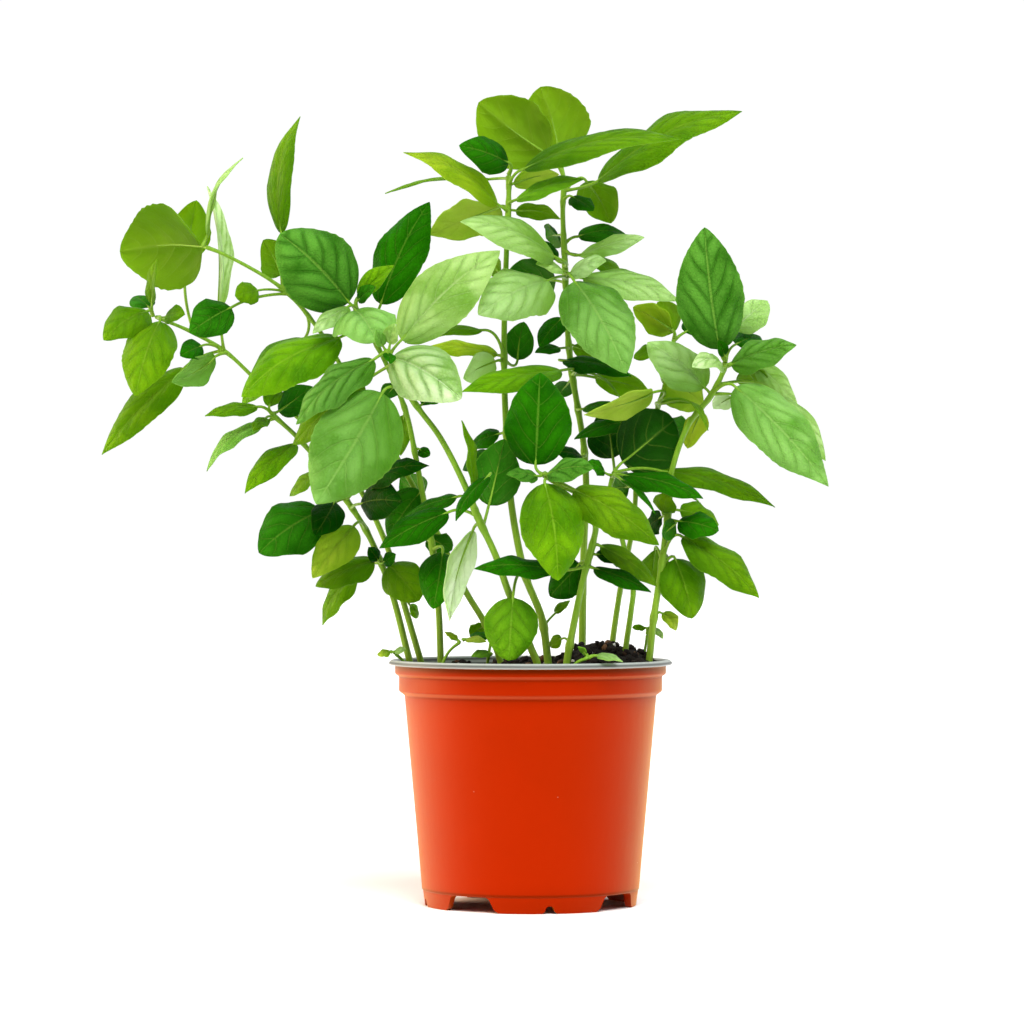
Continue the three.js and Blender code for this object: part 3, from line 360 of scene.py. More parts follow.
LEAFY_STEMS = [
    stem("leafy_stem_left_low", 2.0, 1.2, [
        (-50, 6, 92), (-56, 6, 113), (-63, 8, 140), (-69, 9, 157), (-76, 10, 172), (-88, 12, 190),
        (-106, 14, 213), (-120, 15, 226),
    ], [
        leaf(225, (-126, 12, 229), (-150, 4, 225), 12, 55, 0.06, -15, "m"),
        leaf(224, (-124, 14, 221), (-151, 18, 200), 12, 55, 0.16, -10, "S"),
        leaf(213, (-108, 8, 212), (-131, -6, 189), 14, 30, 0.08, -15, "m"),
        leaf(226, (-121, 15, 229), (-117, 24, 239), 9, 20, 0.05, 10, "m"),
        leaf(226, (-117, 18, 227), (-102, 30, 239), 14, 160, 0.05, -10, "D"),
        leaf(224, (-122, 10, 224), (-127, -2, 218), 8, 30, 0.06, -10, "m"),
        leaf(200, (-99, 20, 199), (-113, 30, 188), 9, 40, 0.05, -10, "M"),
        leaf(187, (-96, 2, 181), (-124, -12, 162), 28, 15, 0.08, -15, "d"),
        leaf(187, (-90, 0, 185), (-98, -16, 170), 16, 0, 0.08, -12, "k"),
        leaf(172, (-81, -4, 174), (-99, -24, 151), 19, 20, 0.06, -12, "y"),
        leaf(157, (-72, 6, 158), (-99, 0, 147), 18, 40, 0.08, -15, "o"),
        leaf(157, (-80, 18, 152), (-98, 26, 128), 15, 45, 0.1, -15, "m"),
        leaf(182, (-78, -2, 184), (-59, -26, 185), 19, 15, 0.06, -15, "k"),
        leaf(190, (-80, 20, 194), (-71, 32, 209), 13, 155, 0.05, -10, "d"),
        leaf(158, (-70, 4, 158), (-74, -4, 164), 7, 20, 0.05, -10, "k"),
        leaf(158, (-68, 4, 157), (-62, -3, 161), 7, 20, 0.05, -10, "d"),
        leaf(186, (-76, 0, 192), (-47, -26, 202), 15, 45, 0.12, -15, "k"),
        leaf(157, (-65, 2, 156), (-51, -6, 140), 20, 10, 0.08, -12, "o"),
    ]),
    stem("leafy_stem_far_left", 1.9, 0.9, [
        (-45, 18, 92), (-51, 18, 112), (-59, 20, 139), (-68, 24, 168), (-84, 30, 198), (-106, 34, 222),
        (-129, 36, 243), (-142, 35, 255), (-157, 32, 264), (-176, 28, 272),
    ], [
        leaf(272, (-178, 24, 274), (-197, 8, 260), 20, 25, 0.14, -15, "m"),
        leaf(271, (-172, 20, 269), (-181, -6, 234), 26, 10, 0.12, -18, "M"),
        leaf(271, (-170, 24, 271), (-160, 12, 272), 10, 30, 0.1, -10, "m"),
        leaf(256, (-162, 38, 248), (-201, 32, 208), 21, 35, 0.05, -10, "M"),
        leaf(255, (-147, 30, 253), (-167, 20, 241), 16, 140, -0.06, -12, "s"),
        leaf(256, (-145, 27, 275), (-149, 22, 332), 18, 74, 0.04, 20, "U"),
        leaf(264, (-162, 50, 300), (-158, 58, 328), 20, 170, 0.05, -10, "b"),
        leaf(272, (-176, 24, 277), (-174, 20, 298), 8, 50, 0.05, 10, "m"),
        leaf(258, (-153, 28, 258), (-162, 16, 253), 11, 10, 0.06, -10, "d"),
        leaf(272, (-178, 30, 276), (-186, 42, 282), 12, 40, 0.06, -10, "D"),
        leaf(150, (-56, 26, 137), (-52, 34, 131), 6, 40, 0.1, -10, "m"),
    ]),
    stem("leafy_stem_left_high", 1.9, 0.9, [
        (-11, 8, 92), (-14, 8, 112), (-21, 7, 129), (-30, 6, 144), (-46, 5, 177), (-60, 4, 203),
        (-67, 4, 214), (-84, 5, 242), (-98, 6, 265), (-114, 6, 283), (-141, 6, 299), (-151, 7, 303),
    ], [
        leaf(302, (-152, 10, 303), (-192, 42, 303), 42, 165, 0.06, -12, "b"),
        leaf(303, (-149, 8, 308), (-134, 0, 344), 14, 86, 0.1, 0, "P"),
        leaf(283, (-115, 10, 309), (-109, 20, 365), 17, 45, 0.1, -10, "m"),
        leaf(283, (-115, 12, 290), (-124, 26, 307), 17, 155, 0.06, -10, "m"),
        leaf(282, (-125, -2, 282), (-135, -12, 279), 12, 10, 0.08, -12, "m"),
        leaf(281, (-137, -6, 274), (-155, -18, 262), 19, 0, 0.08, -15, "D"),
        leaf(271, (-105, 12, 260), (-135, 26, 231), 22, 40, 0.08, -12, "F"),
        leaf(128, (-20, 14, 128), (-28, 24, 123), 9, 150, 0.05, -10, "M"),
        leaf(180, (-50, 16, 186), (-60, 40, 196), 18, 160, 0.06, -10, "D"),
    ]),
    stem("leafy_stem_left_mid", 1.9, 1.2, [
        (-40, -12, 92), (-41, -12, 112), (-42, -12, 136), (-45, -11, 165), (-50, -10, 192),
        (-53, -9, 208), (-57, -9, 226), (-66, -9, 248), (-80, -8, 274),
    ], [
        leaf(273, (-83, -10, 276), (-114, -18, 307), 38, 12, 0.06, -14, "G"),
        leaf(273, (-79, -4, 279), (-63, -4, 294), 11, 30, 0.05, 15, "F"),
        leaf(273, (-79, -10, 277), (-71, -18, 283), 8, 30, 0.05, 10, "D"),
        leaf(273, (-83, -14, 274), (-99, -26, 262), 12, 40, 0.06, -15, "p"),
        leaf(256, (-69, 6, 276), (-47, 18, 325), 25, 15, 0.04, -12, "D"),
        leaf(271, (-80, -16, 272), (-69, -42, 257), 31, 25, 0.1, -15, "S"),
        leaf(261, (-87, -12, 260), (-132, -22, 234), 31, 40, 0.08, -18, "F"),
        leaf(193, (-50, -4, 190), (-66, 2, 168), 20, 20, 0.06, -12, "D"),
        leaf(166, (-47, -6, 169), (-36, 0, 163), 13, 150, 0.05, -10, "D"),
        leaf(163, (-40, -22, 162), (-44, -36, 137), 20, 5, 0.1, -15, "D"),
        leaf(228, (-58, -2, 225), (-60, 2, 206), 9, 30, 0.04, 0, "m"),
        leaf(208, (-51, -10, 209), (-46, -12, 206), 6, 20, 0.05, -10, "d"),
    ]),
    stem("leafy_stem_front_left", 2.1, 1.3, [
        (1, -42, 92), (3, -43, 111), (0, -44, 119), (-10, -46, 144), (-16, -48, 161), (-23, -49, 176),
        (-31, -50, 195), (-41, -51, 214), (-50, -52, 226), (-59, -53, 239), (-64, -54, 252),
    ], [
        leaf(252, (-62, -58, 249), (-31, -76, 230), 30, 15, 0.12, -20, "u"),
        leaf(252, (-70, -58, 248), (-105, -66, 220), 22, 40, 0.08, -18, "c"),
        leaf(246, (-75, -46, 238), (-108, -42, 211), 22, 30, 0.06, -12, "O"),
        leaf(250, (-58, -50, 257), (-14, -40, 299), 29, 15, 0.05, -8, "P"),
        leaf(228, (-66, -64, 233), (-95, -76, 184), 40, 5, 0.07, -12, "s"),
        leaf(228, (-49, -48, 228), (-39, -40, 233), 9, 40, 0.05, 10, "d"),
        leaf(238, (-60, -46, 238), (-67, -38, 231), 9, 150, 0.05, -5, "d"),
        leaf(251, (-63, -54, 255), (-61, -58, 264), 8, 20, 0.05, 15, "P"),
        leaf(251, (-66, -56, 254), (-69, -62, 261), 6, 20, 0.05, 15, "S"),
        leaf(250, (-64, -60, 251), (-62, -68, 246), 6, 30, 0.05, -5, "D"),
        leaf(178, (-33, -42, 187), (-57, -32, 179), 11, 55, 0.06, -15, "d"),
        leaf(178, (-37, -46, 180), (-68, -50, 164), 16, 28, 0.06, -14, "d"),
        leaf(175, (-26, -44, 172), (-37, -38, 131), 14, 150, 0.05, -12, "U"),
        leaf(173, (-19, -40, 183), (-12, -34, 213), 23, 172, 0.05, -10, "D"),
        leaf(181, (-26, -54, 191), (-30, -58, 221), 10, 65, 0.03, 10, "m"),
        leaf(186, (-19, -60, 196), (-34, -74, 177), 11, 50, 0.06, -12, "d"),
    ]),
    stem("leafy_stem_centre", 2.2, 1.3, [
        (11, -26, 92), (8, -26, 111), (5, -25, 132), (-2, -23, 150), (-7, -20, 172), (-10, -17, 195),
        (-11, -15, 215), (-12, -12, 240), (-12, -9, 268), (-11, -6, 300), (-10, -4, 325), (-10, -4, 336),
    ], [
        leaf(335, (-10, -8, 340), (-32, -22, 347), 18, 20, 0.1, -12, "d"),
        leaf(318, (-15, -8, 321), (-57, -20, 345), 18, 50, 0.12, -10, "y"),
        leaf(316, (-14, 4, 321), (-47, 28, 310), 22, 145, 0.06, -10, "Y"),
        leaf(333, (-18, 8, 334), (-68, 30, 331), 12, 86, 0.04, 0, "M"),
        leaf(330, (-3, -10, 337), (68, -28, 350), 20, 50, 0.09, -10, "m"),
        leaf(330, (-8, -2, 331), (13, 0, 336), 12, 140, 0.05, -8, "Y"),
        leaf(322, (-7, -8, 323), (24, -16, 333), 13, 50, 0.05, -10, "F"),
        leaf(318, (-7, 2, 319), (14, 4, 316), 11, 130, 0.1, -10, "m"),
        leaf(288, (-14, 2, 290), (-20, 12, 298), 9, 150, 0.05, -10, "m"),
        leaf(250, (-22, -18, 263), (-57, -30, 258), 12, 60, 0.08, -12, "M"),
        leaf(252, (-15, -8, 252), (-49, 6, 257), 13, 55, 0.05, -10, "Y"),
        leaf(249, (-16, -14, 249), (-31, -22, 241), 15, 150, 0.05, -10, "P"),
        leaf(250, (-6, 0, 250), (-3, 6, 268), 14, 175, 0.04, -8, "D"),
        leaf(216, (-14, -12, 216), (-28, -4, 211), 11, 40, 0.08, -12, "D"),
        leaf(151, (-8, -53, 142), (-10, -59, 114), 25, 0, 0.06, -12, "f"),
        leaf(128, (11, -20, 134), (18, -16, 140), 5, 40, 0.1, -5, "m"),
        leaf(206, (-18, -6, 206), (-32, 6, 200), 11, 40, 0.1, -12, "D"),
    ]),
    stem("leafy_stem_back_tall", 2.2, 1.3, [
        (23, 26, 92), (24, 26, 112), (24.5, 26, 140), (25, 25, 165), (26, 24, 190), (25, 22, 210),
        (22, 20, 229), (19, 18, 247), (17, 16, 268), (16, 14, 295), (15, 12, 322), (16, 12, 334),
    ], [
        leaf(333, (8, 12, 346), (-24, 24, 371), 34, 168, 0.06, -10, "B"),
        leaf(333, (14, 22, 344), (5, 42, 380), 36, 170, 0.06, -10, "b"),
        leaf(329, (31, 8, 333), (96, 0, 367), 26, 48, 0.1, -10, "m"),
        leaf(328, (26, 20, 334), (38, 34, 316), 20, 150, 0.08, -10, "O"),
        leaf(324, (19, 8, 326), (29, 0, 319), 11, 40, 0.06, -10, "d"),
        leaf(304, (22, 16, 308), (48, 24, 308), 14, 50, 0.16, -12, "D"),
        leaf(302, (23, 8, 299), (52, -2, 307), 15, 50, 0.05, -10, "p"),
        leaf(300, (28, 24, 298), (45, 36, 291), 11, 40, 0.06, -10, "o"),
        leaf(308, (13, 20, 309), (8, 36, 309), 13, 150, 0.05, -10, "d"),
        leaf(296, (12, 14, 297), (3, 20, 307), 9, 40, 0.1, -10, "d"),
        leaf(294, (11, -8, 297), (-31, -36, 312), 24, 48, 0.08, -12, "p"),
        leaf(291, (15, -2, 291), (3, -16, 294), 9, 50, 0.05, -12, "P"),
        leaf(291, (18, 0, 290), (34, -16, 295), 13, 45, 0.05, -12, "P"),
        leaf(289, (24, 4, 288), (69, 0, 279), 19, 40, 0.1, -12, "p"),
        leaf(288, (20, -6, 286), (43, -38, 244), 32, 12, 0.08, -12, "s"),
        leaf(288, (8, -10, 286), (-23, -42, 270), 30, 22, 0.1, -15, "p"),
        leaf(270, (15, 6, 270), (4, -4, 256), 12, 30, 0.05, -10, "d"),
        leaf(256, (14, 10, 256), (2, 4, 254), 8, 50, 0.1, -10, "D"),
        leaf(250, (15, 6, 250), (46, -10, 243), 15, 50, 0.06, -14, "d"),
        leaf(244, (30, 24, 243), (56, 18, 236), 14, 150, 0.06, -10, "M"),
        leaf(258, (20, 24, 258), (34, 30, 252), 10, 140, 0.06, -10, "o"),
        leaf(246, (19, 10, 246), (42, -2, 233), 7, 85, 0.12, 0, "m"),
        leaf(208, (24, 16, 206), (12, 6, 208), 12, 50, 0.08, -10, "k"),
        leaf(228, (24, 14, 228), (40, 6, 230), 9, 60, 0.06, -10, "D"),
        leaf(241, (18, 26, 241), (12, 38, 234), 11, 150, 0.06, -10, "D"),
        leaf(286, (12, 22, 288), (-10, 34, 292), 22, 150, 0.05, -10, "d"),
        leaf(244, (14, -9, 245), (-31, -40, 235), 19, 48, 0.06, -12, "f"),
    ]),
    stem("leafy_stem_front_centre", 2.1, 1.4, [
        (15, -38, 92), (16, -39, 111), (18, -40, 123), (24, -42, 152), (28, -43, 167), (29, -45, 174),
        (24, -50, 186), (12, -54, 193), (4, -56, 198),
    ], [
        leaf(196, (2, -53, 201), (4, -44, 243), 31, 5, 0.03, -12, "D"),
        leaf(197, (7, -60, 197), (27, -74, 200), 14, 40, 0.05, -12, "G"),
        leaf(197, (3, -60, 196), (-11, -72, 197), 9, 45, 0.05, -12, "G"),
        leaf(195, (6, -60, 193), (12, -72, 150), 30, 10, 0.08, -14, "F"),
        leaf(193, (19, -58, 190), (57, -66, 166), 23, 30, 0.08, -14, "M"),
        leaf(156, (12, -50, 154), (-25, -60, 156), 13, 42, 0.06, -14, "D"),
        leaf(157, (22, -38, 157), (8, -30, 142), 18, 20, 0.05, -12, "d"),
        leaf(156, (28, -44, 155), (54, -50, 145), 11, 45, 0.06, -14, "d"),
        leaf(161, (29, -40, 161), (42, -32, 155), 9, 50, 0.2, -10, "k"),
        leaf(165, (31, -40, 165), (58, -34, 147), 12, 35, 0.05, -12, "o"),
        leaf(120, (14, -34, 123), (8, -30, 120), 7, 30, 0.06, -10, "M"),
    ]),
    stem("leafy_stem_right_inner", 1.8, 1.0, [
        (36, 12, 92), (37, 12, 112), (42, 12, 147), (45, 13, 161), (48, 14, 177), (49, 15, 190),
        (52, 16, 205), (58, 18, 225), (64, 20, 245), (67, 22, 262),
    ], [
        leaf(261, (66, 20, 265), (48, 26, 276), 17, 140, 0.05, -10, "y"),
        leaf(261, (67, 26, 264), (60, 40, 279), 17, 160, 0.05, -10, "b"),
        leaf(250, (58, 24, 257), (48, 24, 252), 9, 40, 0.06, -10, "o"),
        leaf(240, (62, 12, 242), (80, 0, 230), 22, 150, 0.08, -10, "Y"),
        leaf(232, (56, -6, 235), (23, -27, 225), 15, 140, -0.08, -20, "Y"),
        leaf(212, (44, 8, 222), (20, -2, 215), 12, 50, 0.06, -10, "d"),
        leaf(222, (60, 26, 222), (74, 38, 217), 16, 150, 0.06, -10, "D"),
        leaf(229, (60, 2, 230), (81, -36, 219), 7, 85, 0.14, 0, "m"),
        leaf(190, (46, 24, 192), (34, 44, 188), 20, 40, 0.08, -12, "g"),
        leaf(260, (72, 24, 264), (88, 36, 272), 16, 40, 0.06, -10, "d"),
    ]),
    stem("leafy_stem_right_mid", 1.8, 1.2, [
        (43, -6, 92), (43, -6, 112), (46, -7, 135), (47, -7, 145), (44, -8, 159), (40, -9, 175),
        (36, -10, 189), (38, -11, 198),
    ], [
        leaf(197, (42, -16, 197), (78, -30, 187), 16, 50, 0.06, -12, "d"),
        leaf(198, (60, -2, 199), (113, 4, 183), 15, 45, 0.08, -12, "m"),
        leaf(196, (41, -20, 195), (57, -32, 180), 7, 70, 0.06, 0, "d"),
        leaf(198, (42, -6, 203), (66, 8, 223), 36, 165, 0.06, -12, "k"),
        leaf(198, (38, 4, 205), (35, 22, 227), 22, 170, 0.05, -10, "k"),
        leaf(197, (34, -14, 198), (26, -20, 203), 9, 50, 0.1, -10, "D"),
    ]),
    stem("leafy_stem_right", 2.1, 1.3, [
        (51, -10, 92), (54, -10, 111), (56, -11, 130), (59, -12, 150), (61, -13, 165), (63, -13, 183),
        (64, -13, 197), (72, -14, 220), (82, -15, 233), (88, -16, 245), (89, -16, 250),
    ], [
        leaf(249, (86, -20, 254), (79, -28, 309), 32, 8, 0.04, -10, "G"),
        leaf(248, (91, -20, 247), (120, -30, 256), 19, 40, 0.08, -14, "c"),
        leaf(248, (87, -24, 246), (73, -38, 246), 13, 50, 0.2, -12, "U"),
        leaf(234, (93, -22, 237), (134, -40, 192), 28, 15, 0.12, -14, "S"),
        leaf(246, (103, -6, 248), (124, 8, 229), 15, 30, 0.06, -12, "p"),
        leaf(238, (114, -4, 233), (137, 6, 204), 14, 30, 0.06, -12, "P"),
        leaf(246, (98, -8, 246), (106, 4, 236), 15, 150, 0.06, -10, "o"),
        leaf(249, (94, -8, 257), (106, 4, 262), 13, 40, 0.06, -10, "D"),
        leaf(250, (93, -4, 264), (109, 2, 278), 18, 30, 0.06, -10, "P"),
        leaf(249, (88, -22, 251), (85, -28, 258), 6, 20, 0.05, 10, "D"),
        leaf(234, (92, -10, 233), (84, 0, 228), 10, 150, 0.06, -10, "U"),
        leaf(226, (78, -6, 226), (72, 4, 210), 13, 150, 0.06, -10, "Y"),
        leaf(232, (80, -6, 237), (54, 4, 259), 24, 30, 0.06, -10, "p"),
        leaf(180, (68, -10, 181), (87, -2, 175), 16, 40, 0.1, -12, "m"),
        leaf(177, (67, -18, 176), (85, -28, 172), 15, 30, 0.08, -14, "D"),
        leaf(158, (69, -18, 169), (104, -26, 142), 20, 35, 0.05, -12, "m"),
        leaf(178, (60, -8, 178), (53, 2, 172), 12, 40, 0.06, -10, "k"),
        leaf(180, (60, -16, 180), (62, -24, 188), 12, 20, 0.05, -10, "M"),
        leaf(172, (66, -16, 175), (59, -26, 169), 10, 150, 0.06, -10, "D"),
        leaf(156, (66, -10, 159), (74, -16, 132), 23, 20, 0.08, -12, "m"),
        leaf(158, (57, -4, 163), (56, 4, 147), 16, 150, 0.05, -10, "o"),
        leaf(188, (66, -6, 189), (79, 4, 184), 7, 75, 0.1, 0, "m"),
        leaf(132, (60, -8, 134), (67, -4, 126), 8, 35, 0.3, -12, "Y"),
    ]),
]

SEEDLINGS = [
    stem("seedling_left", 0.9, 0.7, [
        (-52, -10, 96), (-55, -10, 108), (-60, -11, 114), (-63, -12, 116),
    ], [
        leaf(116, (-64, -12, 116.5), (-70, -13, 115), 7, 60, 0.1, -10, "y"),
        leaf(116, (-62, -12, 116.5), (-57, -13, 118), 6, 60, 0.1, -10, "P"),
    ]),
    stem("seedling_left_middle", 0.9, 0.7, [
        (-42, -26, 96), (-41, -26, 108), (-37, -26, 117), (-31, -27, 122),
    ], [
        leaf(122, (-30, -27, 122.5), (-20, -29, 122), 6, 60, 0.08, -10, "Y"),
        leaf(121, (-33, -26, 122), (-39, -24, 126), 5, 60, 0.08, -10, "y"),
    ]),
    stem("seedling_centre", 0.9, 0.7, [
        (-20, -22, 96), (-20, -22, 108), (-19, -22, 116), (-18, -22, 122),
    ], [
        leaf(121, (-19, -21, 123), (-28, -15, 124), 6, 50, 0.1, -10, "d"),
        leaf(121, (-17, -21, 122), (-11, -18, 126), 6, 130, 0.1, -10, "y"),
        leaf(115, (-18, -23, 116), (-27, -27, 115), 6, 50, 0.1, -10, "f"),
    ]),
    stem("seedling_front", 0.9, 0.7, [
        (15, -53, 96), (16, -53, 106), (20, -54, 112.5), (27, -55, 115.5),
    ], [
        leaf(115, (29, -55, 116), (41, -57, 114), 7, 65, 0.1, -10, "p"),
        leaf(114.5, (25, -54, 116.5), (21, -52, 120), 5, 120, 0.1, -10, "f"),
    ]),
    stem("seedling_right", 0.9, 0.7, [
        (50, 8, 96), (51, 8, 108), (53, 7, 118), (54, 6, 125),
    ], [
        leaf(124, (55, 5, 127), (61, 3, 122), 6, 60, 0.2, -10, "P"),
        leaf(124, (53, 7, 127), (47, 9, 127), 6, 120, 0.1, -10, "f"),
    ]),
]


def colour_setting(name, description, default):
    return FloatVectorProperty(name=name, description=description, default=default, size=3,
                               min=0, max=1, subtype="COLOR")


def length_setting(name, description, default):
    return FloatProperty(name=name, description=description, default=default, min=0,
                         subtype="DISTANCE", unit="LENGTH")


def strength_setting(name, description, default):
    return FloatProperty(name=name, description=description, default=default, min=0)


def count_setting(name, description, default, least=0):
    return IntProperty(name=name, description=description, default=default, min=least)


class BasilFoliageSettings(PropertyGroup):
    """Colours and fine sizes of the leaves and stems"""

    # The darkest tones are partly the leaves' own dark green and partly painted shade deep in the plant;
    # the pale and half-pale tones are partly the leaves' own pale green and partly painted sheen
    nearly_black: colour_setting("Nearly black green", "Oldest leaves", (0.001, 0.036, 0.0003))
    dark: colour_setting("Dark green", "Old leaves", (0.014, 0.130, 0.0005))
    deep: colour_setting("Deep glossy green", "Full-grown glossy leaves", (0.075, 0.245, 0.020))
    middle: colour_setting("Middle green", "Most leaves", (0.110, 0.234, 0.002))
    olive: colour_setting("Olive", "Ageing leaves", (0.095, 0.190, 0.002))
    fresh: colour_setting("Fresh green", "Brightest leaves", (0.120, 0.300, 0.002))
    young: colour_setting("Young green", "Yellow-green young leaves", (0.340, 0.430, 0.018))
    half_pale: colour_setting("Half pale", "Leaves with a silvery sheen", (0.200, 0.410, 0.085))
    cushioned: colour_setting("Cushioned", "Leaves puffed up between their veins", (0.110, 0.280, 0.040))
    pale: colour_setting("Pale", "Silvery young leaves", (0.360, 0.550, 0.200))
    pale_under: colour_setting("Pale underside", "Whitish undersides", (0.620, 0.770, 0.420))
    backlit: colour_setting("Backlit", "Thin leaves lit from behind", (0.060, 0.150, 0.002))
    vein: colour_setting("Veins", "Midribs and side veins", (0.240, 0.360, 0.050))
    stem_foot: colour_setting("Stem foot", "Stems near the soil", (0.225, 0.380, 0.032))
    stem_top: colour_setting("Stem top", "Stems and leaf stalks", (0.165, 0.335, 0.022))
    blade_thickness: length_setting("Blade thickness", "Thickness of a leaf", 0.45 * MM)
    puff: length_setting("Puff", "Height of the pillows between a large leaf's side veins", 1.05 * MM)
    step: length_setting("Step", "Spacing of the points on a large leaf", 1.5 * MM)


class NurseryPotSettings(PropertyGroup):
    """Sizes and colours of the pot"""

    rim_radius: length_setting("Rim radius", "Outer radius of the rim", RIM_RADIUS)
    height: length_setting("Height", "Height of the pot", POT_HIGH.z)
    wall: length_setting("Wall", "Thickness of the wall", 1.1 * MM)
    foot_height: length_setting("Foot height", "Height of the feet", 7.2 * MM)
    round_steps: count_setting("Round steps", "Sides of the pot's circle", 144, 32)
    outside: colour_setting("Outside", "Terracotta-orange plastic", (0.375, 0.0085, 0.0001))
    inside: colour_setting("Inside and rim", "Grey plastic", (0.125, 0.137, 0.131))


class PottingSoilSettings(PropertyGroup):
    """Crumbs and colours of the soil"""

    crumbs: count_setting("Crumbs", "Number of loose crumbs", 420)
    chips: count_setting("Chips", "Number of bark chips", 46)
    perlite: count_setting("Perlite", "Number of white grains", 34)
    peat: colour_setting("Peat", "Moist peat", (0.012, 0.008, 0.006))
    bark: colour_setting("Bark", "Brown bits", (0.120, 0.058, 0.026))
    white: colour_setting("White grains", "Perlite", (0.680, 0.680, 0.640))


class BasilStudioSettings(PropertyGroup):
    """Camera, lights and floor"""

    distance: length_setting("Distance", "Camera to the pot's axis", 1.9)
    eye_height: length_setting("Eye height", "Height of the camera", 0.172)
    eye_offset: FloatProperty(name="Eye offset", description="Camera to the side of the pot's axis",
                              default=-8.5 * MM, subtype="DISTANCE", unit="LENGTH")
    tilt: FloatProperty(name="Tilt", description="Camera's upward tilt", default=math.radians(0.25),
                        subtype="ANGLE", unit="ROTATION")
    lens: FloatProperty(name="Lens", description="Focal length in millimetres", default=145.4, min=1)
    front: strength_setting("Front", "White light from the front and below", 0.13)
    behind: strength_setting("Behind", "White light added from behind", 0.55)
    above: strength_setting("Above", "White light added from above", 0.32)
    key: strength_setting("Key", "Strength of the soft sun from the front", 3.7)
    left: strength_setting("Left", "Power of the light from the left", 34)
    floor: colour_setting("Floor", "Pale floor and backdrop", (0.985, 0.985, 0.985))


class Value:
    """A number or colour in a material. Arithmetic on it adds Math nodes."""

    def __init__(self, shader, socket):
        self.shader = shader
        self.socket = socket

    def math(self, operation, *others):
        inputs = dict(enumerate((self, *others)))
        return self.shader.node("ShaderNodeMath", {"operation": operation}, inputs).value()

    def __add__(self, other):
        return self.math("ADD", other)

    __radd__ = __add__

    def __mul__(self, other):
        return self.math("MULTIPLY", other)

    __rmul__ = __mul__

    def __sub__(self, other):
        return self.math("SUBTRACT", other)

    def __rsub__(self, other):
        return (self * -1.0) + other

    def near_whole(self):
        """The distance to the nearest whole number"""
        return self.math("PINGPONG", 0.5)

    def band(self, low, high):
        """1 below low, 0 above high, and a smooth change between"""
        settings = {"interpolation_type": "SMOOTHSTEP"}
        inputs = {"Value": self, "From Min": low, "From Max": high, "To Min": 1.0, "To Max": 0.0}
        return self.shader.node("ShaderNodeMapRange", settings, inputs).value()

    def beside(self, place, core, reach):
        """1 within core of a place, 0 from reach on"""
        return (self - place).math("ABSOLUTE").band(core, reach)


class Part:
    """A node of a material, whose outputs are taken as values"""

    def __init__(self, shader, node):
        self.shader = shader
        self.node = node

    def value(self, output=0):
        return Value(self.shader, self.node.outputs[output])


class Shader:
    """The nodes of a material or of the surroundings"""

    def __init__(self, owner):
        owner.use_nodes = True
        self.owner = owner
        self.tree = owner.node_tree
        self.tree.nodes.clear()

    def node(self, kind, settings=None, inputs=None):
        """Adds a node: its settings first, then the values or links of its sockets"""
        node = self.tree.nodes.new(kind)
        for key, setting in (settings or {}).items():
            if key == "stops":
                self.set_stops(node.color_ramp, setting)
            else:
                setattr(node, key, setting)
        for key, given in (inputs or {}).items():
            socket = node.inputs[key]
            if isinstance(given, Value):
                self.tree.links.new(given.socket, socket)
            elif hasattr(given, "__len__") and len(given) == 3 and socket.type == "RGBA":
                socket.default_value = (*given, 1.0)
            else:
                socket.default_value = given
        return Part(self, node)

    def set_stops(self, ramp, stops):
        while len(ramp.elements) < len(stops):
            ramp.elements.new(1.0)
        for element, (place, colour) in zip(ramp.elements, stops):
            element.position = place
            element.color = (*colour, 1.0)

    def attribute(self, name, output="Fac"):
        settings = {"attribute_type": "GEOMETRY", "attribute_name": name}
        return self.node("ShaderNodeAttribute", settings).value(output)

    def place(self, scale=(1, 1, 1)):
        """The place on the piece, in metres times a scale"""
        spot = self.node("ShaderNodeTexCoord").value("Object")
        return self.node("ShaderNodeMapping", None, {"Vector": spot, "Scale": scale}).value()

    def clouds(self, size, detail=3.0, vector=None):
        """Soft noise from 0 to 1, with blotches about as large as size"""
        inputs = {"Vector": vector or self.place(), "Scale": 1 / size, "Detail": detail}
        return self.node("ShaderNodeTexNoise", None, inputs).value("Fac")

    def cells(self, size, feature="DISTANCE_TO_EDGE"):
        """Distances within cells about as large as size, from their edges or their middles"""
        inputs = {"Vector": self.place(), "Scale": 1 / size}
        return self.node("ShaderNodeTexVoronoi", {"feature": feature}, inputs).value("Distance")

    def mix(self, factor, low, high, blend="MIX"):
        """Between two colours"""
        settings = {"data_type": "RGBA", "blend_type": blend, "clamp_factor": True}
        return self.node("ShaderNodeMix", settings, {0: factor, 6: low, 7: high}).value(2)

    def tinted(self, colour, tint):
        """A colour with its red, green and blue multiplied"""
        return self.mix(1.0, colour, tint, "MULTIPLY")

    def bump(self, height, distance, strength=1.0):
        inputs = {"Height": height, "Distance": distance, "Strength": strength}
        return self.node("ShaderNodeBump", None, inputs).value()

    def surface(self, **inputs):
        """The plain surface shader, with socket names written with underscores"""
        named = {key.replace("_", " "): given for key, given in inputs.items()}
        return self.node("ShaderNodeBsdfPrincipled", None, named).value()

    def finish(self, surface, output="ShaderNodeOutputMaterial"):
        self.node(output, None, {"Surface": surface})
        return self.owner


def material_shader(name):
    return Shader(bpy.data.materials.new(name))


def scaled(colour, share):
    """A colour made darker or lighter, up to white"""
    return [min(1.0, share * part) for part in colour]


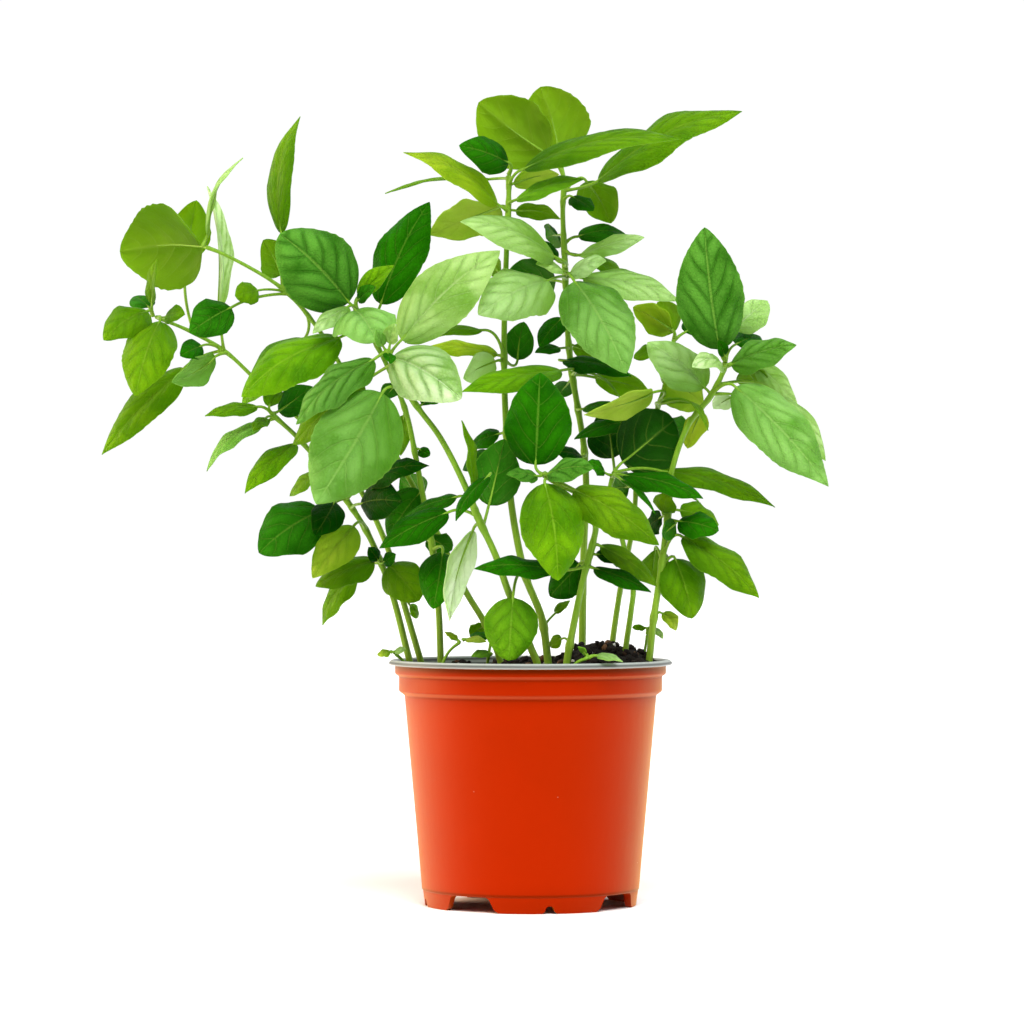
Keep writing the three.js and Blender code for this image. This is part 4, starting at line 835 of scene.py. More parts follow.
def leaf_pattern(shader):
    """Masks from the leaf's own attributes: the midrib, the side veins, the cushions between them, where
    painted sheen is strongest, and the valley along both, where shade is painted"""
    side = shader.attribute("side")
    midrib = side.band(0.015, 0.055)
    distance = shader.attribute("phase").near_whole()
    ribs = distance.band(0.010, 0.065) * (side.band(0.45, 1.0) * 0.9 + 0.05)
    cushions = (1.0 - distance.band(0.04, 0.40)) * side.math("PINGPONG", 0.5) * 2.0
    painted_valley_shade = distance.band(0.02, 0.26) * side.band(0.55, 1.0)
    return midrib, ribs, cushions, painted_valley_shade.math("MAXIMUM", side.band(0.04, 0.14))


def leaf_net(shader):
    """The mesh of the finest veins"""
    return shader.cells(LEAF_NET).band(0.0, 0.24)


def aged_colour(shader, colours):
    """The leaf's own colour among those of its group, mixed towards a darker copy of itself by the
    leaf's lightness: painted light and shade
    """
    stops = [(index / (len(colours) - 1), colour) for index, colour in enumerate(colours)]
    ramp = shader.node("ShaderNodeValToRGB", {"stops": stops}, {0: shader.attribute("tone")}).value()
    painted_shade = shader.tinted(ramp, (0.34, 0.46, 0.26))
    return shader.mix(shader.attribute("light"), painted_shade, ramp)


def lit_through(shader, skin, light_through, share_through):
    """A thin leaf: its skin, with some of the light from behind shining through"""
    glow = shader.node("ShaderNodeBsdfTranslucent", None, {"Color": light_through}).value()
    both = shader.node("ShaderNodeMixShader", None, {0: share_through, 1: skin, 2: glow})
    return shader.finish(both.value())


def leaf_top(name, colours, vein_colour, light_through, share_through, roughness, gloss):
    """The upper face: mottled and veined, in relief, with light shining through, with painted sheen in
    patches, painted shade beside the veins and a painted highlight along the margin
    """
    shader = material_shader(name)
    midrib, ribs, cushions, painted_valley_shade = leaf_pattern(shader)
    puckered = 1.0 - shader.attribute("tone").band(0.84, 0.92)
    net = leaf_net(shader)
    tone = aged_colour(shader, colours)
    darker = shader.tinted(tone, (0.42, 0.58, 0.34))
    deepest = shader.tinted(tone, (0.20, 0.42, 0.12))
    bright = shader.tinted(tone, (1.8, 1.6, 2.2))
    line = shader.mix(0.3, bright, vein_colour)
    blotches = shader.clouds(LEAF_BLOTCHES, 4.0).band(0.38, 0.62)
    shade = shader.mix(blotches * 0.6 + net * 0.3, tone, darker)
    # Painted sheen: paler patches, strongest on the cushions between the veins
    painted_sheen = shader.clouds(PAINTED_SHEEN_PATCHES).band(0.42, 0.66) * (cushions * 0.45 + 0.55)
    with_painted_sheen = shader.mix(painted_sheen * 0.9, shade, bright)
    # Painted shade in the valley beside the veins, deeper on puckered leaves
    with_painted_valley_shade = shader.mix(painted_valley_shade * (puckered * 0.38 + 0.14), with_painted_sheen, deepest)
    veins = (midrib * 0.85).math("MAXIMUM", ribs * (0.55 - puckered * 0.40))
    lined = shader.mix(veins, with_painted_valley_shade, line)
    # A pale line along the margin: a painted highlight
    margin = 1.0 - shader.attribute("side").band(0.955, 0.995)
    colour = shader.mix(margin * 0.6, lined, line)
    height = net * -0.40 + ribs * -0.9 + midrib * -0.2 + shader.clouds(LEAF_GRAIN) * 0.8
    relief = shader.bump(height, 0.38 * MM, 1.0)
    uneven = shader.clouds(LEAF_SHEEN) * 0.16 + roughness
    skin = shader.surface(Base_Color=colour, Roughness=uneven, Normal=relief, IOR=gloss,
                          Specular_Tint=(0.36, 1.0, 0.10))
    return lit_through(shader, skin, light_through, share_through)


def leaf_underside(name, colours, vein_colour, light_through, share_through):
    """The lower face: paler and matter, with its veins standing out"""
    shader = material_shader(name)
    midrib, ribs, _, _ = leaf_pattern(shader)
    veins = midrib.math("MAXIMUM", ribs)
    paler = shader.tinted(aged_colour(shader, colours), (1.5, 1.3, 2.0))
    blotches = shader.clouds(UNDERSIDE_BLOTCHES).band(0.3, 0.7)
    shade = shader.mix(blotches, paler, shader.tinted(paler, (0.74, 0.82, 0.66)))
    colour = shader.mix(veins * 0.7, shade, shader.mix(0.35, paler, vein_colour))
    relief = shader.bump(veins * 1.2 + leaf_net(shader) * 0.5, 0.25 * MM, 0.9)
    skin = shader.surface(Base_Color=colour, Roughness=0.60, Normal=relief, IOR=1.38,
                          Specular_Tint=(0.55, 1.0, 0.20))
    return lit_through(shader, skin, light_through, share_through)


def stem_skin(name, foot_colour, top_colour):
    """Stems and stalks: juicy green, paler at the foot, with faint streaks along them"""
    shader = material_shader(name)
    tone = shader.mix(shader.attribute("tone"), foot_colour, top_colour)
    streaks = shader.clouds(STEM_STREAKS, 3.0, shader.place((1, 1, 0.08)))
    darker = shader.tinted(tone, (0.62, 0.72, 0.45))
    colour = shader.mix(streaks.band(0.35, 0.65) * 0.6, tone, darker)
    relief = shader.bump(streaks, 0.15 * MM, 0.6)
    return shader.finish(shader.surface(Base_Color=colour, Roughness=0.42, Normal=relief, IOR=1.42,
                                        Specular_Tint=(0.70, 1.0, 0.35)))


def pot_plastic(name, plain, roughness, sheen_colour, glow, painted_shade, edges, highlight_colour, highlight_share):
    """Thin moulded plastic: a soft sheen, faint ripples, a few tiny specks of dust and dull patches,
    darker around some heights as painted shade and lighter along its edges as painted highlights"""
    shader = material_shader(name)
    haze = shader.clouds(POT_HAZE, 4.0)
    worn = shader.mix(haze.band(0.30, 0.72) * 0.30, plain, scaled(plain, 0.80))
    specks = shader.cells(SPECK_SPACING, "F1").band(0.020, 0.050)
    rare = shader.clouds(SPECK_CLUSTERS, 1.0).band(0.36, 0.44)
    dusty = shader.mix(specks * rare * 0.55, worn, DUST)
    ripples = shader.clouds(POT_RIPPLES, 2.0, shader.place((1, 1, 0.35)))
    relief = shader.bump(ripples * 0.8 + shader.clouds(POT_GRAIN, 2.0) * 0.12, 0.12 * MM, 0.5)
    sheen = haze * 0.10 + shader.clouds(POT_SHEEN, 2.0) * 0.05 + roughness
    height = shader.node("ShaderNodeSeparateXYZ", None, {"Vector": shader.place()}).value("Z")
    # Painted shade: darker towards the feet, and around each given height under the rim, on the collars
    # and in the creases
    dark = height.band(*SHADED_FOOT) * FOOT_SHADE
    for place, core, reach, share in painted_shade:
        dark = height.beside(place, core, reach) * share + dark
    colour = shader.mix(dark, dusty, scaled(plain, DEEPEST_SHADE))
    # Painted highlights: a lighter line around each edge height
    for place in edges:
        painted_highlight = height.beside(place, *PAINTED_HIGHLIGHT_WIDTH) * highlight_share
        colour = shader.mix(painted_highlight, colour, highlight_colour)
    return shader.finish(shader.surface(Base_Color=colour, Roughness=sheen, Normal=relief, IOR=1.29,
                                        Specular_Tint=sheen_colour, Sheen_Weight=glow,
                                        Sheen_Roughness=0.42, Sheen_Tint=sheen_colour))


def soil_grain(name, plain, roughness, depth):
    """Peat, bark or perlite: each grain lighter or darker, with smaller grains and pits on it"""
    shader = material_shader(name)
    own = shader.mix(shader.attribute("light"), scaled(plain, 0.5), scaled(plain, 1.7))
    grains = shader.clouds(SOIL_GRAINS, 5.0)
    colour = shader.mix(grains.band(0.38, 0.62) * 0.75, own, shader.tinted(own, (0.42, 0.40, 0.38)))
    relief = shader.bump(grains + shader.cells(SOIL_PITS) * 0.6, depth, 1.0)
    return shader.finish(shader.surface(Base_Color=colour, Roughness=roughness, Normal=relief, IOR=1.35))


def fitting(value, low, high):
    return max(low, min(high, value))


def smooth_step(low, high, value):
    """0 below low, 1 above high, and a smooth change between"""
    share = fitting((value - low) / (high - low), 0, 1)
    return share * share * (3 - 2 * share)


def hump(distance, reach):
    """1 at no distance, falling off like a bell"""
    return math.exp(-(distance / reach) ** 2)


def on_bend(start, corner, end, t):
    """A place on the smooth bend from start to end that a corner draws to itself"""
    return start * (1 - t) ** 2 + corner * (2 * t * (1 - t)) + end * t * t


def new_object(name, body, materials=()):
    """An object in the scene from a finished body"""
    mesh = bpy.data.meshes.new(name)
    body.to_mesh(mesh)
    body.free()
    for material in materials:
        mesh.materials.append(material)
    made = bpy.data.objects.new(name, mesh)
    bpy.context.scene.collection.objects.link(made)
    return made


class Growth:
    """A mesh in the making. Its points carry their tone, lightness and place among the veins. On leaves
    the lightness is painted light and shade; on soil grains it is their own lighter or darker colour.
    """

    def __init__(self):
        self.mesh = bmesh.new()
        self.side = self.mesh.verts.layers.float.new("side")
        self.phase = self.mesh.verts.layers.float.new("phase")
        self.tone = self.mesh.verts.layers.float.new("tone")
        self.light = self.mesh.verts.layers.float.new("light")

    def sheet(self, steps, sides, set_point):
        """A grid of steps by sides, each of its points set by a function of its two shares from 0 to 1,
        with the points that fall together merged. It gives the faces back."""
        made = bmesh.ops.create_grid(self.mesh, x_segments=steps, y_segments=sides, size=1)["verts"]
        for vert in made:
            set_point(vert, (vert.co.x + 1) / 2, (vert.co.y + 1) / 2)
        faces = {face for vert in made for face in vert.link_faces}
        bmesh.ops.remove_doubles(self.mesh, verts=made, dist=SAME_PLACE)
        return [face for face in faces if face.is_valid]

    def tube(self, places, radii, sides, reference, tone_at, squareness=0.0):
        """A stem or stalk along places, its section a circle or a rounded square, closed where a radius
        is 0"""
        count = len(places) - 1
        rings = []
        normal = reference
        for index, place in enumerate(places):
            direction = (places[min(index + 1, count)] - places[max(index - 1, 0)]).normalized()
            normal = (normal - direction * normal.dot(direction)).normalized()
            rings.append((place, normal, direction.cross(normal), radii[index], tone_at(index / count)))

        def set_point(vert, along, around):
            place, out, sideways, radius, tone = rings[round(along * count)]
            angle = 2 * math.pi * around
            reach = radius * (1 + squareness * math.cos(4 * angle))
            vert.co = place + (out * math.cos(angle) + sideways * math.sin(angle)) * reach
            vert[self.tone] = tone

        faces = self.sheet(count, sides, set_point)
        bmesh.ops.recalc_face_normals(self.mesh, faces=faces)
        for face in faces:
            face.material_index = STEM_INDEX

    def piece(self, name, materials, replaced, slot, sharp_angle):
        """Makes the finished object, shown in place of its plain solid"""
        for face in self.mesh.faces:
            face.smooth = True
        made = new_object(name, self.mesh, materials)
        made.data.set_sharp_from_angle(angle=sharp_angle)
        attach(made, "root")
        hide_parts(replaced)


def curve_through(points, steps):
    """A smooth line through points, as many steps in each span: a centripetal Catmull-Rom curve"""
    ends = [points[0] * 2 - points[1], *points, points[-1] * 2 - points[-2]]
    line = []
    for a, b, c, d in zip(ends, ends[1:], ends[2:], ends[3:]):
        gap_before = math.sqrt((b - a).length)
        gap = math.sqrt((c - b).length)
        gap_after = math.sqrt((d - c).length)
        leaving = (b - a) / gap_before - (c - a) / (gap_before + gap) + (c - b) / gap
        arriving = (c - b) / gap - (d - b) / (gap + gap_after) + (d - c) / gap_after
        start = leaving * gap
        end = arriving * gap
        for step in range(steps):
            t = step / steps
            bend = (c - b) * 3 - start * 2 - end
            twist = (b - c) * 2 + start + end
            line.append(b + start * t + bend * t * t + twist * t * t * t)
    line.append(points[-1].copy())
    return line


def spaced(line, spacing):
    """The same line with its points evenly apart"""
    lengths = [0.0]
    for before, after in zip(line, line[1:]):
        lengths.append(lengths[-1] + (after - before).length)
    count = max(2, round(lengths[-1] / spacing))
    points = []
    span = 0
    for step in range(count + 1):
        reach = lengths[-1] * step / count
        while span < len(line) - 2 and lengths[span + 1] < reach:
            span += 1
        share = (reach - lengths[span]) / (lengths[span + 1] - lengths[span])
        points.append(line[span].lerp(line[span + 1], fitting(share, 0, 1)))
    return points


def place_at_height(line, height):
    """Where a climbing line passes a height"""
    for before, after in zip(line, line[1:]):
        if after.z >= height:
            return before.lerp(after, fitting((height - before.z) / (after.z - before.z), 0, 1))
    return line[-1].copy()


class Blade:
    """Where a leaf's blade lies: its outline, arch and fold, the veins' relief and its own accidents"""

    def __init__(self, shape, chance, puff):
        self.shape = shape
        along = shape.tip - shape.base
        self.length = along.length
        self.along = along.normalized()
        front = Vector((0, -1, 0))
        front = (front - self.along * front.dot(self.along)).normalized()
        up = self.along.cross(front)
        if up.z < 0:
            up.negate()
        self.facing = front * math.cos(shape.turn) + up * math.sin(shape.turn)
        self.across = self.along.cross(self.facing)
        pairs = BASIC_PAIRS + self.length / LENGTH_PER_PAIR
        self.pairs = fitting(pairs, *PAIR_LIMITS) * chance.uniform(*PAIRS_CHANCE)
        tip_power = NARROW_TIP - TIP_BLUNTING * shape.width / self.length
        self.tip_power = fitting(tip_power, *TIP_LIMITS) * chance.uniform(*TIP_CHANCE)
        self.relief = puff * fitting(shape.width / WIDE_BLADE, *PILLOW_LIMITS)
        if TONES[shape.tone.lower()] in PUCKERED:
            self.relief *= PUCKER
        self.twist = chance.uniform(*TWIST)
        self.sway = chance.uniform(*SWAY) * self.length
        self.curl = chance.uniform(*CURL) * self.length
        self.wave = chance.uniform(*WAVE) * shape.width / 2
        self.waves = chance.uniform(*WAVES)
        self.offsets = {-1: chance.random(), 1: chance.random()}
        self.cupping = chance.uniform(*CUPPING)
        self.lit_half = chance.uniform(*LIT_HALF)

    def offset(self, v):
        """The accident of the half that a place lies on"""
        return self.offsets[1 if v > 0 else -1]

    def phase(self, u, v):
        """How many side veins lie between this place and the leaf's foot"""
        run = VEIN_SLANT * (abs(v) * self.breadth(u)) ** VEIN_CURVE
        turns = WANDERS_ALONG * u + WANDERS_ACROSS * abs(v) + self.offset(v)
        wander = VEIN_WANDER * math.sin(2 * math.pi * turns)
        return self.pairs * (u - run) + VEIN_SHIFT * self.offset(v) + wander

    def breadth(self, u):
        """How wide the blade is along its length, from 0 to 1"""
        if not 0 < u < 1:
            return 0.0
        power = BASE_POWER + (self.tip_power - BASE_POWER) * smooth_step(TIP_START, 1, u)
        return math.sin(math.pi * u ** RISE_POWER) ** power

    def rise(self, u, v, half):
        """How high the upper face stands: the fold, cupping, waves, pillows and groove"""
        reach = abs(v)
        breadth = self.breadth(u)
        fold = self.shape.fold
        rise = half * math.sin(fold) * reach ** (FALLING_FOLD if fold < 0 else RISING_FOLD)
        rise += self.cupping * half * math.sin(math.pi * reach)
        wave = math.sin(2 * math.pi * (self.waves * u + self.offset(v)))
        rise += self.wave * breadth * reach ** WAVE_POWER * wave
        pillow = abs(math.sin(math.pi * self.phase(u, v))) ** PILLOW_POWER
        spread = smooth_step(0, PILLOW_START, reach) * (1 - PILLOW_FALL * reach ** 3)
        rise += self.relief * pillow * spread * breadth
        return rise - GROOVE_DEPTH * self.relief * hump(v, GROOVE_REACH) * breadth ** 0.5

    def place(self, u, v):
        """A place on the upper face: u runs from the foot to the tip, v from margin to margin"""
        ripple = math.cos(4 * math.pi * self.phase(u, v)) * smooth_step(SCALLOP_START, 1, abs(v))
        half = self.shape.width / 2 * self.breadth(u) * (1 + SCALLOP * ripple)
        turned = self.twist * (u - 0.5)
        across = self.across * math.cos(turned) + self.facing * math.sin(turned)
        facing = self.facing * math.cos(turned) - self.across * math.sin(turned)
        spine = 4 * u * (1 - u)
        curl = self.curl * smooth_step(CURL_START, 1, u) * (u - CURL_HINGE)
        arch = self.shape.arch * self.length * spine - curl
        middle = self.shape.base + self.along * (self.length * u) + self.facing * arch
        middle += self.across * (self.sway * spine)
        return middle + across * (v * half * math.cos(self.shape.fold)) + facing * self.rise(u, v, half)


def grow_blade(growth, blade, group, tone, light, foliage):
    """The blade as a thin closed body: a fine upper face by the blade's formula, thickened downwards"""
    steps = round(fitting(blade.length / foliage.step, *BLADE_STEPS))
    sides = 2 * round(fitting(blade.shape.width / foliage.step / 2, *HALF_BLADE_SIDES))

    def set_point(vert, along, around):
        crowded = (1 - math.cos(math.pi * along)) / 2
        u = crowded * CROWDING + along * (1 - CROWDING)
        v = 1 - 2 * around
        vert.co = blade.place(u, v)
        vert[growth.side] = abs(v)
        vert[growth.phase] = blade.phase(u, v)
        vert[growth.tone] = tone
        # Painted light and shade along and across the blade, lighter on one half
        painted_light_gradient = TIP_LIGHT * (u - EVEN_ALONG) + MIDDLE_LIGHT * (EVEN_ACROSS - abs(v))
        vert[growth.light] = light + painted_light_gradient + blade.lit_half * v

    upper = growth.sheet(steps, sides, set_point)
    for face in upper:
        face.material_index = 2 * group
    thickened = bmesh.ops.solidify(growth.mesh, geom=upper, thickness=foliage.blade_thickness)["geom"]
    known = set(upper)
    for part in thickened:
        if isinstance(part, bmesh.types.BMFace) and part not in known:
            part.material_index = 2 * group + 1


def grow_stalk(growth, shape, blade, stem_line, foliage):
    """The stalk from the stem's middle to the blade, running on beneath it as its tapering midrib"""
    start = place_at_height(stem_line, shape.height)
    reach = (shape.base - start).length
    bend = shape.base - blade.along * (STALK_BEND * reach)
    radius = min(THICKEST_STALK, THINNEST_STALK + STALK_PER_LENGTH * blade.length)
    steps = max(3, round(reach / STALK_STEP))
    places = [start.copy()]
    radii = [0.0]
    for step in range(steps + 1):
        t = step / steps
        places.append(on_bend(start, bend, shape.base, t))
        swelling = 1 + STALK_SWELLING * hump(t * reach, SWELLING_REACH)
        radii.append(radius * (swelling - STALK_TAPER * t))
    places[0] -= (places[2] - places[1]) * STALK_START
    ribs = max(4, round(blade.length / MIDRIB_STEP))
    for rib in range(1, ribs + 1):
        u = MIDRIB_REACH * rib / ribs
        thin = radius * MIDRIB_SHARE * (1 - rib / ribs)
        below = thin * MIDRIB_DROP * smooth_step(0, MIDRIB_START, u)
        drop = MIDRIB_SINK * foliage.blade_thickness + below
        places.append(blade.place(u, 0) - blade.facing * drop)
        radii.append(thin)
    growth.tube(places, radii, STALK_SIDES, blade.facing,
                lambda share: STALK_TONE + (1 - STALK_TONE) * share)


def grow_stem(growth, plant, line, foliage):
    """The squarish stem with its joints swollen where leaves leave it"""
    places = spaced(line, STEM_STEP)
    joints = sorted({round(shape.height, 4) for shape in plant.leaves})
    count = len(places) - 1
    radii = []
    for index, place in enumerate(places):
        share = index / count
        swelling = max(hump(place.z - joint, JOINT_REACH) for joint in joints)
        radius = plant.foot_radius + (plant.top_radius - plant.foot_radius) * share
        radii.append(radius * STEM_SLIMNESS * (1 + JOINT_SWELLING * swelling))
    radii[0] = 0.0
    radii[-1] = 0.0
    places[-1] -= (places[-1] - places[-2]) * STEM_END
    growth.tube(places, radii, STEM_SIDES, Vector(STEM_FACING).normalized(),
                lambda share: smooth_step(0.0, PALE_FOOT, share), STEM_SQUARENESS)


def group_and_tone(letter):
    """The group of leaves that a tone belongs to, and its place among the group's colours"""
    for group, (_, tones, *_) in enumerate(LEAF_GROUPS):
        if TONES[letter.lower()] in tones:
            return group, tones.index(TONES[letter.lower()]) / (len(tones) - 1)
    raise ValueError(f"no leaf group holds the tone {letter}")


def grow_plant(plant, foliage, materials):
    """A stem with all its leaves as one piece, in place of its plain solid"""
    growth = Growth()
    line = curve_through(plant.route, ROUTE_STEPS)
    grow_stem(growth, plant, line, foliage)
    for index, shape in enumerate(plant.leaves):
        chance = random.Random(f"{SEED} {plant.name} {index}")
        blade = Blade(shape, chance, foliage.puff)
        group, tone = group_and_tone(shape.tone)
        # A leaf with a capital letter is painted lighter, as painted light; the others darker, as
        # painted shade
        light = chance.uniform(*(LIGHT_LEAF if shape.tone.isupper() else SHADED_LEAF))
        grow_blade(growth, blade, group, tone + chance.uniform(*TONE_CHANCE), light, foliage)
        grow_stalk(growth, shape, blade, line, foliage)
    growth.piece(plant.name + "_foliage", materials, plant.name, "basil_foliage", LEAF_SHARPNESS)


def foliage_materials(foliage):
    """Upper and lower faces of dark, middle and young leaves, and the stems"""
    made = []
    for name, tones, light_through, share, roughness, gloss in LEAF_GROUPS:
        colours = [getattr(foliage, tone) for tone in tones]
        looks = (colours, foliage.vein, light_through, share)
        made.append(leaf_top(f"{name} leaf, upper face", *looks, roughness, gloss))
        made.append(leaf_underside(f"{name} leaf, underside", *looks))
    made.append(stem_skin("stem and stalks", foliage.stem_foot, foliage.stem_top))
    return made


def spun_body(profile, steps):
    """A closed body from an outline of (radius, height) that starts and ends on the axis of the pot"""
    mesh = bmesh.new()
    verts = [mesh.verts.new(POT_AXIS + Vector((radius, 0, height))) for radius, height in profile]
    edges = [mesh.edges.new(pair) for pair in zip(verts, verts[1:])]
    bmesh.ops.spin(mesh, geom=verts + edges, cent=POT_AXIS, axis=(0, 0, 1), dvec=(0, 0, 0),
                   angle=2 * math.pi, steps=steps, use_merge=True, use_duplicate=False)
    bmesh.ops.remove_doubles(mesh, verts=mesh.verts[:], dist=SAME_PLACE)
    bmesh.ops.recalc_face_normals(mesh, faces=mesh.faces[:])
    return mesh


def rounded(profile, radius, steps=4):
    """The outline with its corners rounded off, apart from its two ends"""
    points = [profile[0]]
    for before, corner, after in zip(profile, profile[1:], profile[2:]):
        to_before = Vector(before) - Vector(corner)
        to_after = Vector(after) - Vector(corner)
        cut = min(radius, CORNER_SHARE * to_before.length, CORNER_SHARE * to_after.length)
        start = Vector(corner) + to_before.normalized() * cut
        end = Vector(corner) + to_after.normalized() * cut
        for step in range(steps + 1):
            t = step / steps
            points.append(on_bend(start, Vector(corner), end, t))
    points.append(profile[-1])
    return [(point[0], point[1]) for point in points]


def pot_outline(pot):
    """The pot's section: foot, wall flaring to a shoulder step, two collars, the out-turned lip, and
    back down inside"""
    rim = pot.rim_radius
    top = pot.height
    wall = pot.wall
    neck = rim - NECK_INSET
    heel = rim - HEEL_INSET
    foot = pot.foot_height
    floor = foot + FLOOR_THICKNESS
    inner_foot = heel - FOOT_INSET - FOOT_WIDTH
    outline = [(0, foot), (inner_foot, foot), (inner_foot, 0), (heel - FOOT_INSET, 0),
               (heel - LEDGE, foot), (heel, foot + LEDGE)]
    outline += [(rim - inset, top - depth) for inset, depth in COLLARS]
    outline.append((neck, top - NECK_DEPTH))
    outline += [(rim - inset, top - depth) for inset, depth in LIP]
    outline += [(neck - LIP_FLAT, top), (neck - wall, top - INSIDE_EDGE)]
    outline += [(rim - inset - wall, top - depth + INSIDE_RISE) for inset, depth in reversed(COLLARS)]
    return outline + [(heel - wall, floor), (0, floor)]


def add_foot_cutter(cutters, half_above, half_below, above, flare, azimuth):
    """A prism through the foot ring at an azimuth: its top corners round, its sides flaring at the
    floor. Its outline's points lie at shares of the flare from its corners."""
    slope = (half_below - half_above) / above
    outline = [(half_below + flare * 1.6, -CUT_BELOW), (half_below + flare * 0.9, 0.25 * flare),
               (half_below + flare * 0.25, 0.75 * flare), (half_below - slope * flare, 1.3 * flare),
               (half_above + slope * flare, above - flare),
               (half_above - 0.35 * flare, above - 0.3 * flare), (half_above - flare, above)]
    outline += [(-sideways, height) for sideways, height in reversed(outline)]
    turn = Matrix.Rotation(azimuth, 3, "Z")
    ring = [cutters.verts.new((sideways, -CUT_OUTSIDE, height)) for sideways, height in outline]
    face = cutters.faces.new(ring)
    pushed = bmesh.ops.extrude_face_region(cutters, geom=[face], use_keep_orig=True)["geom"]
    far = [part for part in pushed if isinstance(part, bmesh.types.BMVert)]
    bmesh.ops.translate(cutters, verts=far, vec=(0, CUT_DEPTH, 0))
    for vert in ring + far:
        vert.co = POT_AXIS + turn @ vert.co


def add_drain_cutter(cutters, azimuth, pot):
    """A round hole through the pot's floor"""
    place = POT_AXIS + Vector((math.cos(azimuth), math.sin(azimuth), 0)) * DRAIN_RING
    place.z = pot.foot_height
    bmesh.ops.create_cone(cutters, cap_ends=True, segments=DRAIN_SIDES, radius1=DRAIN_RADIUS,
                          radius2=DRAIN_RADIUS, depth=DRAIN_DEPTH, matrix=Matrix.Translation(place))


def cut_away(piece, cutters):
    """Takes closed shapes out of a piece"""
    bmesh.ops.recalc_face_normals(cutters, faces=cutters.faces[:])
    cutter = new_object("cutters", cutters)
    cut = piece.modifiers.new("cut", "BOOLEAN")
    cut.operation = "DIFFERENCE"
    cut.solver = "MANIFOLD"
    cut.object = cutter
    with bpy.context.temp_override(object=piece, active_object=piece):
        bpy.ops.object.modifier_apply(modifier="cut")
    bpy.data.objects.remove(cutter)


def moulded_pot(pot, materials):
    """The pot, orange outside and grey within and on its rim, with gaps and notches in its foot ring"""
    body = spun_body(rounded(pot_outline(pot), CORNER_RADIUS), pot.round_steps)
    foot = pot.foot_height
    for face in body.faces:
        middle = face.calc_center_median()
        radial = Vector((middle.x - POT_AXIS.x, middle.y - POT_AXIS.y, 0))
        inward = face.normal.dot(radial) < 0 and middle.z > foot + GREY_ABOVE_FOOT
        on_floor = face.normal.z > 0.5 and middle.z < foot + GREY_FLOOR
        on_rim = middle.z > pot.height - GREY_RIM
        face.material_index = 1 if inward or on_floor or on_rim else 0
        face.smooth = True
    piece = new_object("nursery_pot", body, materials)
    cutters = bmesh.new()
    gap = (GAP_ABOVE / 2, GAP_BELOW / 2, foot - CUT_CLEARANCE, GAP_FLARE)
    notch = (NOTCH_WIDTH / 2 - NOTCH_TAPER, NOTCH_WIDTH / 2, NOTCH_HEIGHT, NOTCH_FLARE)
    for index in range(FEET):
        azimuth = FIRST_FOOT + index * 2 * math.pi / FEET
        add_foot_cutter(cutters, *gap, azimuth + math.pi / FEET)
        add_foot_cutter(cutters, *notch, azimuth)
    for index in range(DRAIN_HOLES):
        add_drain_cutter(cutters, 2 * math.pi * index / DRAIN_HOLES, pot)
    cut_away(piece, cutters)
    piece.data.set_sharp_from_angle(angle=POT_SHARPNESS)
    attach(piece, "root")
    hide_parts("pot")


def soil_height(x, y):
    """The soil's surface over the pot's axis, heaped towards the right"""
    height = SOIL_EDGE_HEIGHT + SOIL_SLOPE * x / SOIL_RADIUS
    for mound_x, mound_y, reach, rise in MOUNDS:
        height += rise * math.exp(-2 * ((x - mound_x) ** 2 + (y - mound_y) ** 2) / reach ** 2)
    return height


def crumble(x, y):
    """The soil's lumps and pits, in metres"""
    spot = Vector((x, y, 0))
    sorts = (LUMPS, CLODS, CRUMBLES)
    lumps, clods, crumbles = [noise.noise(spot / size) * height for size, height in sorts]
    return lumps + abs(clods) + crumbles


def soil_bed(growth):
    """The whole bed of soil as one closed body: a lumpy top, and a plain side and bottom in the pot"""

    def set_point(vert, along, around):
        row = round(along * (SOIL_ROWS + SOIL_SIDE_ROWS))
        side = max(0, row - SOIL_ROWS) / SOIL_SIDE_ROWS
        lower = smooth_step(0, 0.5, side)
        if row < SOIL_MIDDLE_ROWS:
            radius = SOIL_RADIUS * math.sqrt(row / SOIL_ROWS)
        elif row <= SOIL_ROWS:
            radius = SOIL_RADIUS * row / SOIL_ROWS
        else:
            radius = SOIL_RADIUS - (SOIL_RADIUS - SOIL_FOOT_RADIUS) * lower
            radius *= 1 - smooth_step(SOIL_BOTTOM_START, 1, side)
        x = radius * math.cos(2 * math.pi * around)
        y = radius * math.sin(2 * math.pi * around)
        if row <= SOIL_ROWS:
            calm = smooth_step(SOIL_RADIUS, SOIL_RADIUS - CALM_EDGE, radius)
            height = soil_height(x, y) + crumble(x, y) * (CALM_SHARE + (1 - CALM_SHARE) * calm)
        else:
            height = SOIL_SIDE_TOP - (SOIL_SIDE_TOP - SOIL_BOTTOM) * lower
        vert.co = POT_AXIS + Vector((x, y, height))
        vert[growth.light] = SOIL_LIGHT + SOIL_UNEVENNESS * noise.noise(vert.co / SOIL_SHADES)

    faces = growth.sheet(SOIL_ROWS + SOIL_SIDE_ROWS, SOIL_SIDES, set_point)
    bmesh.ops.recalc_face_normals(growth.mesh, faces=faces)


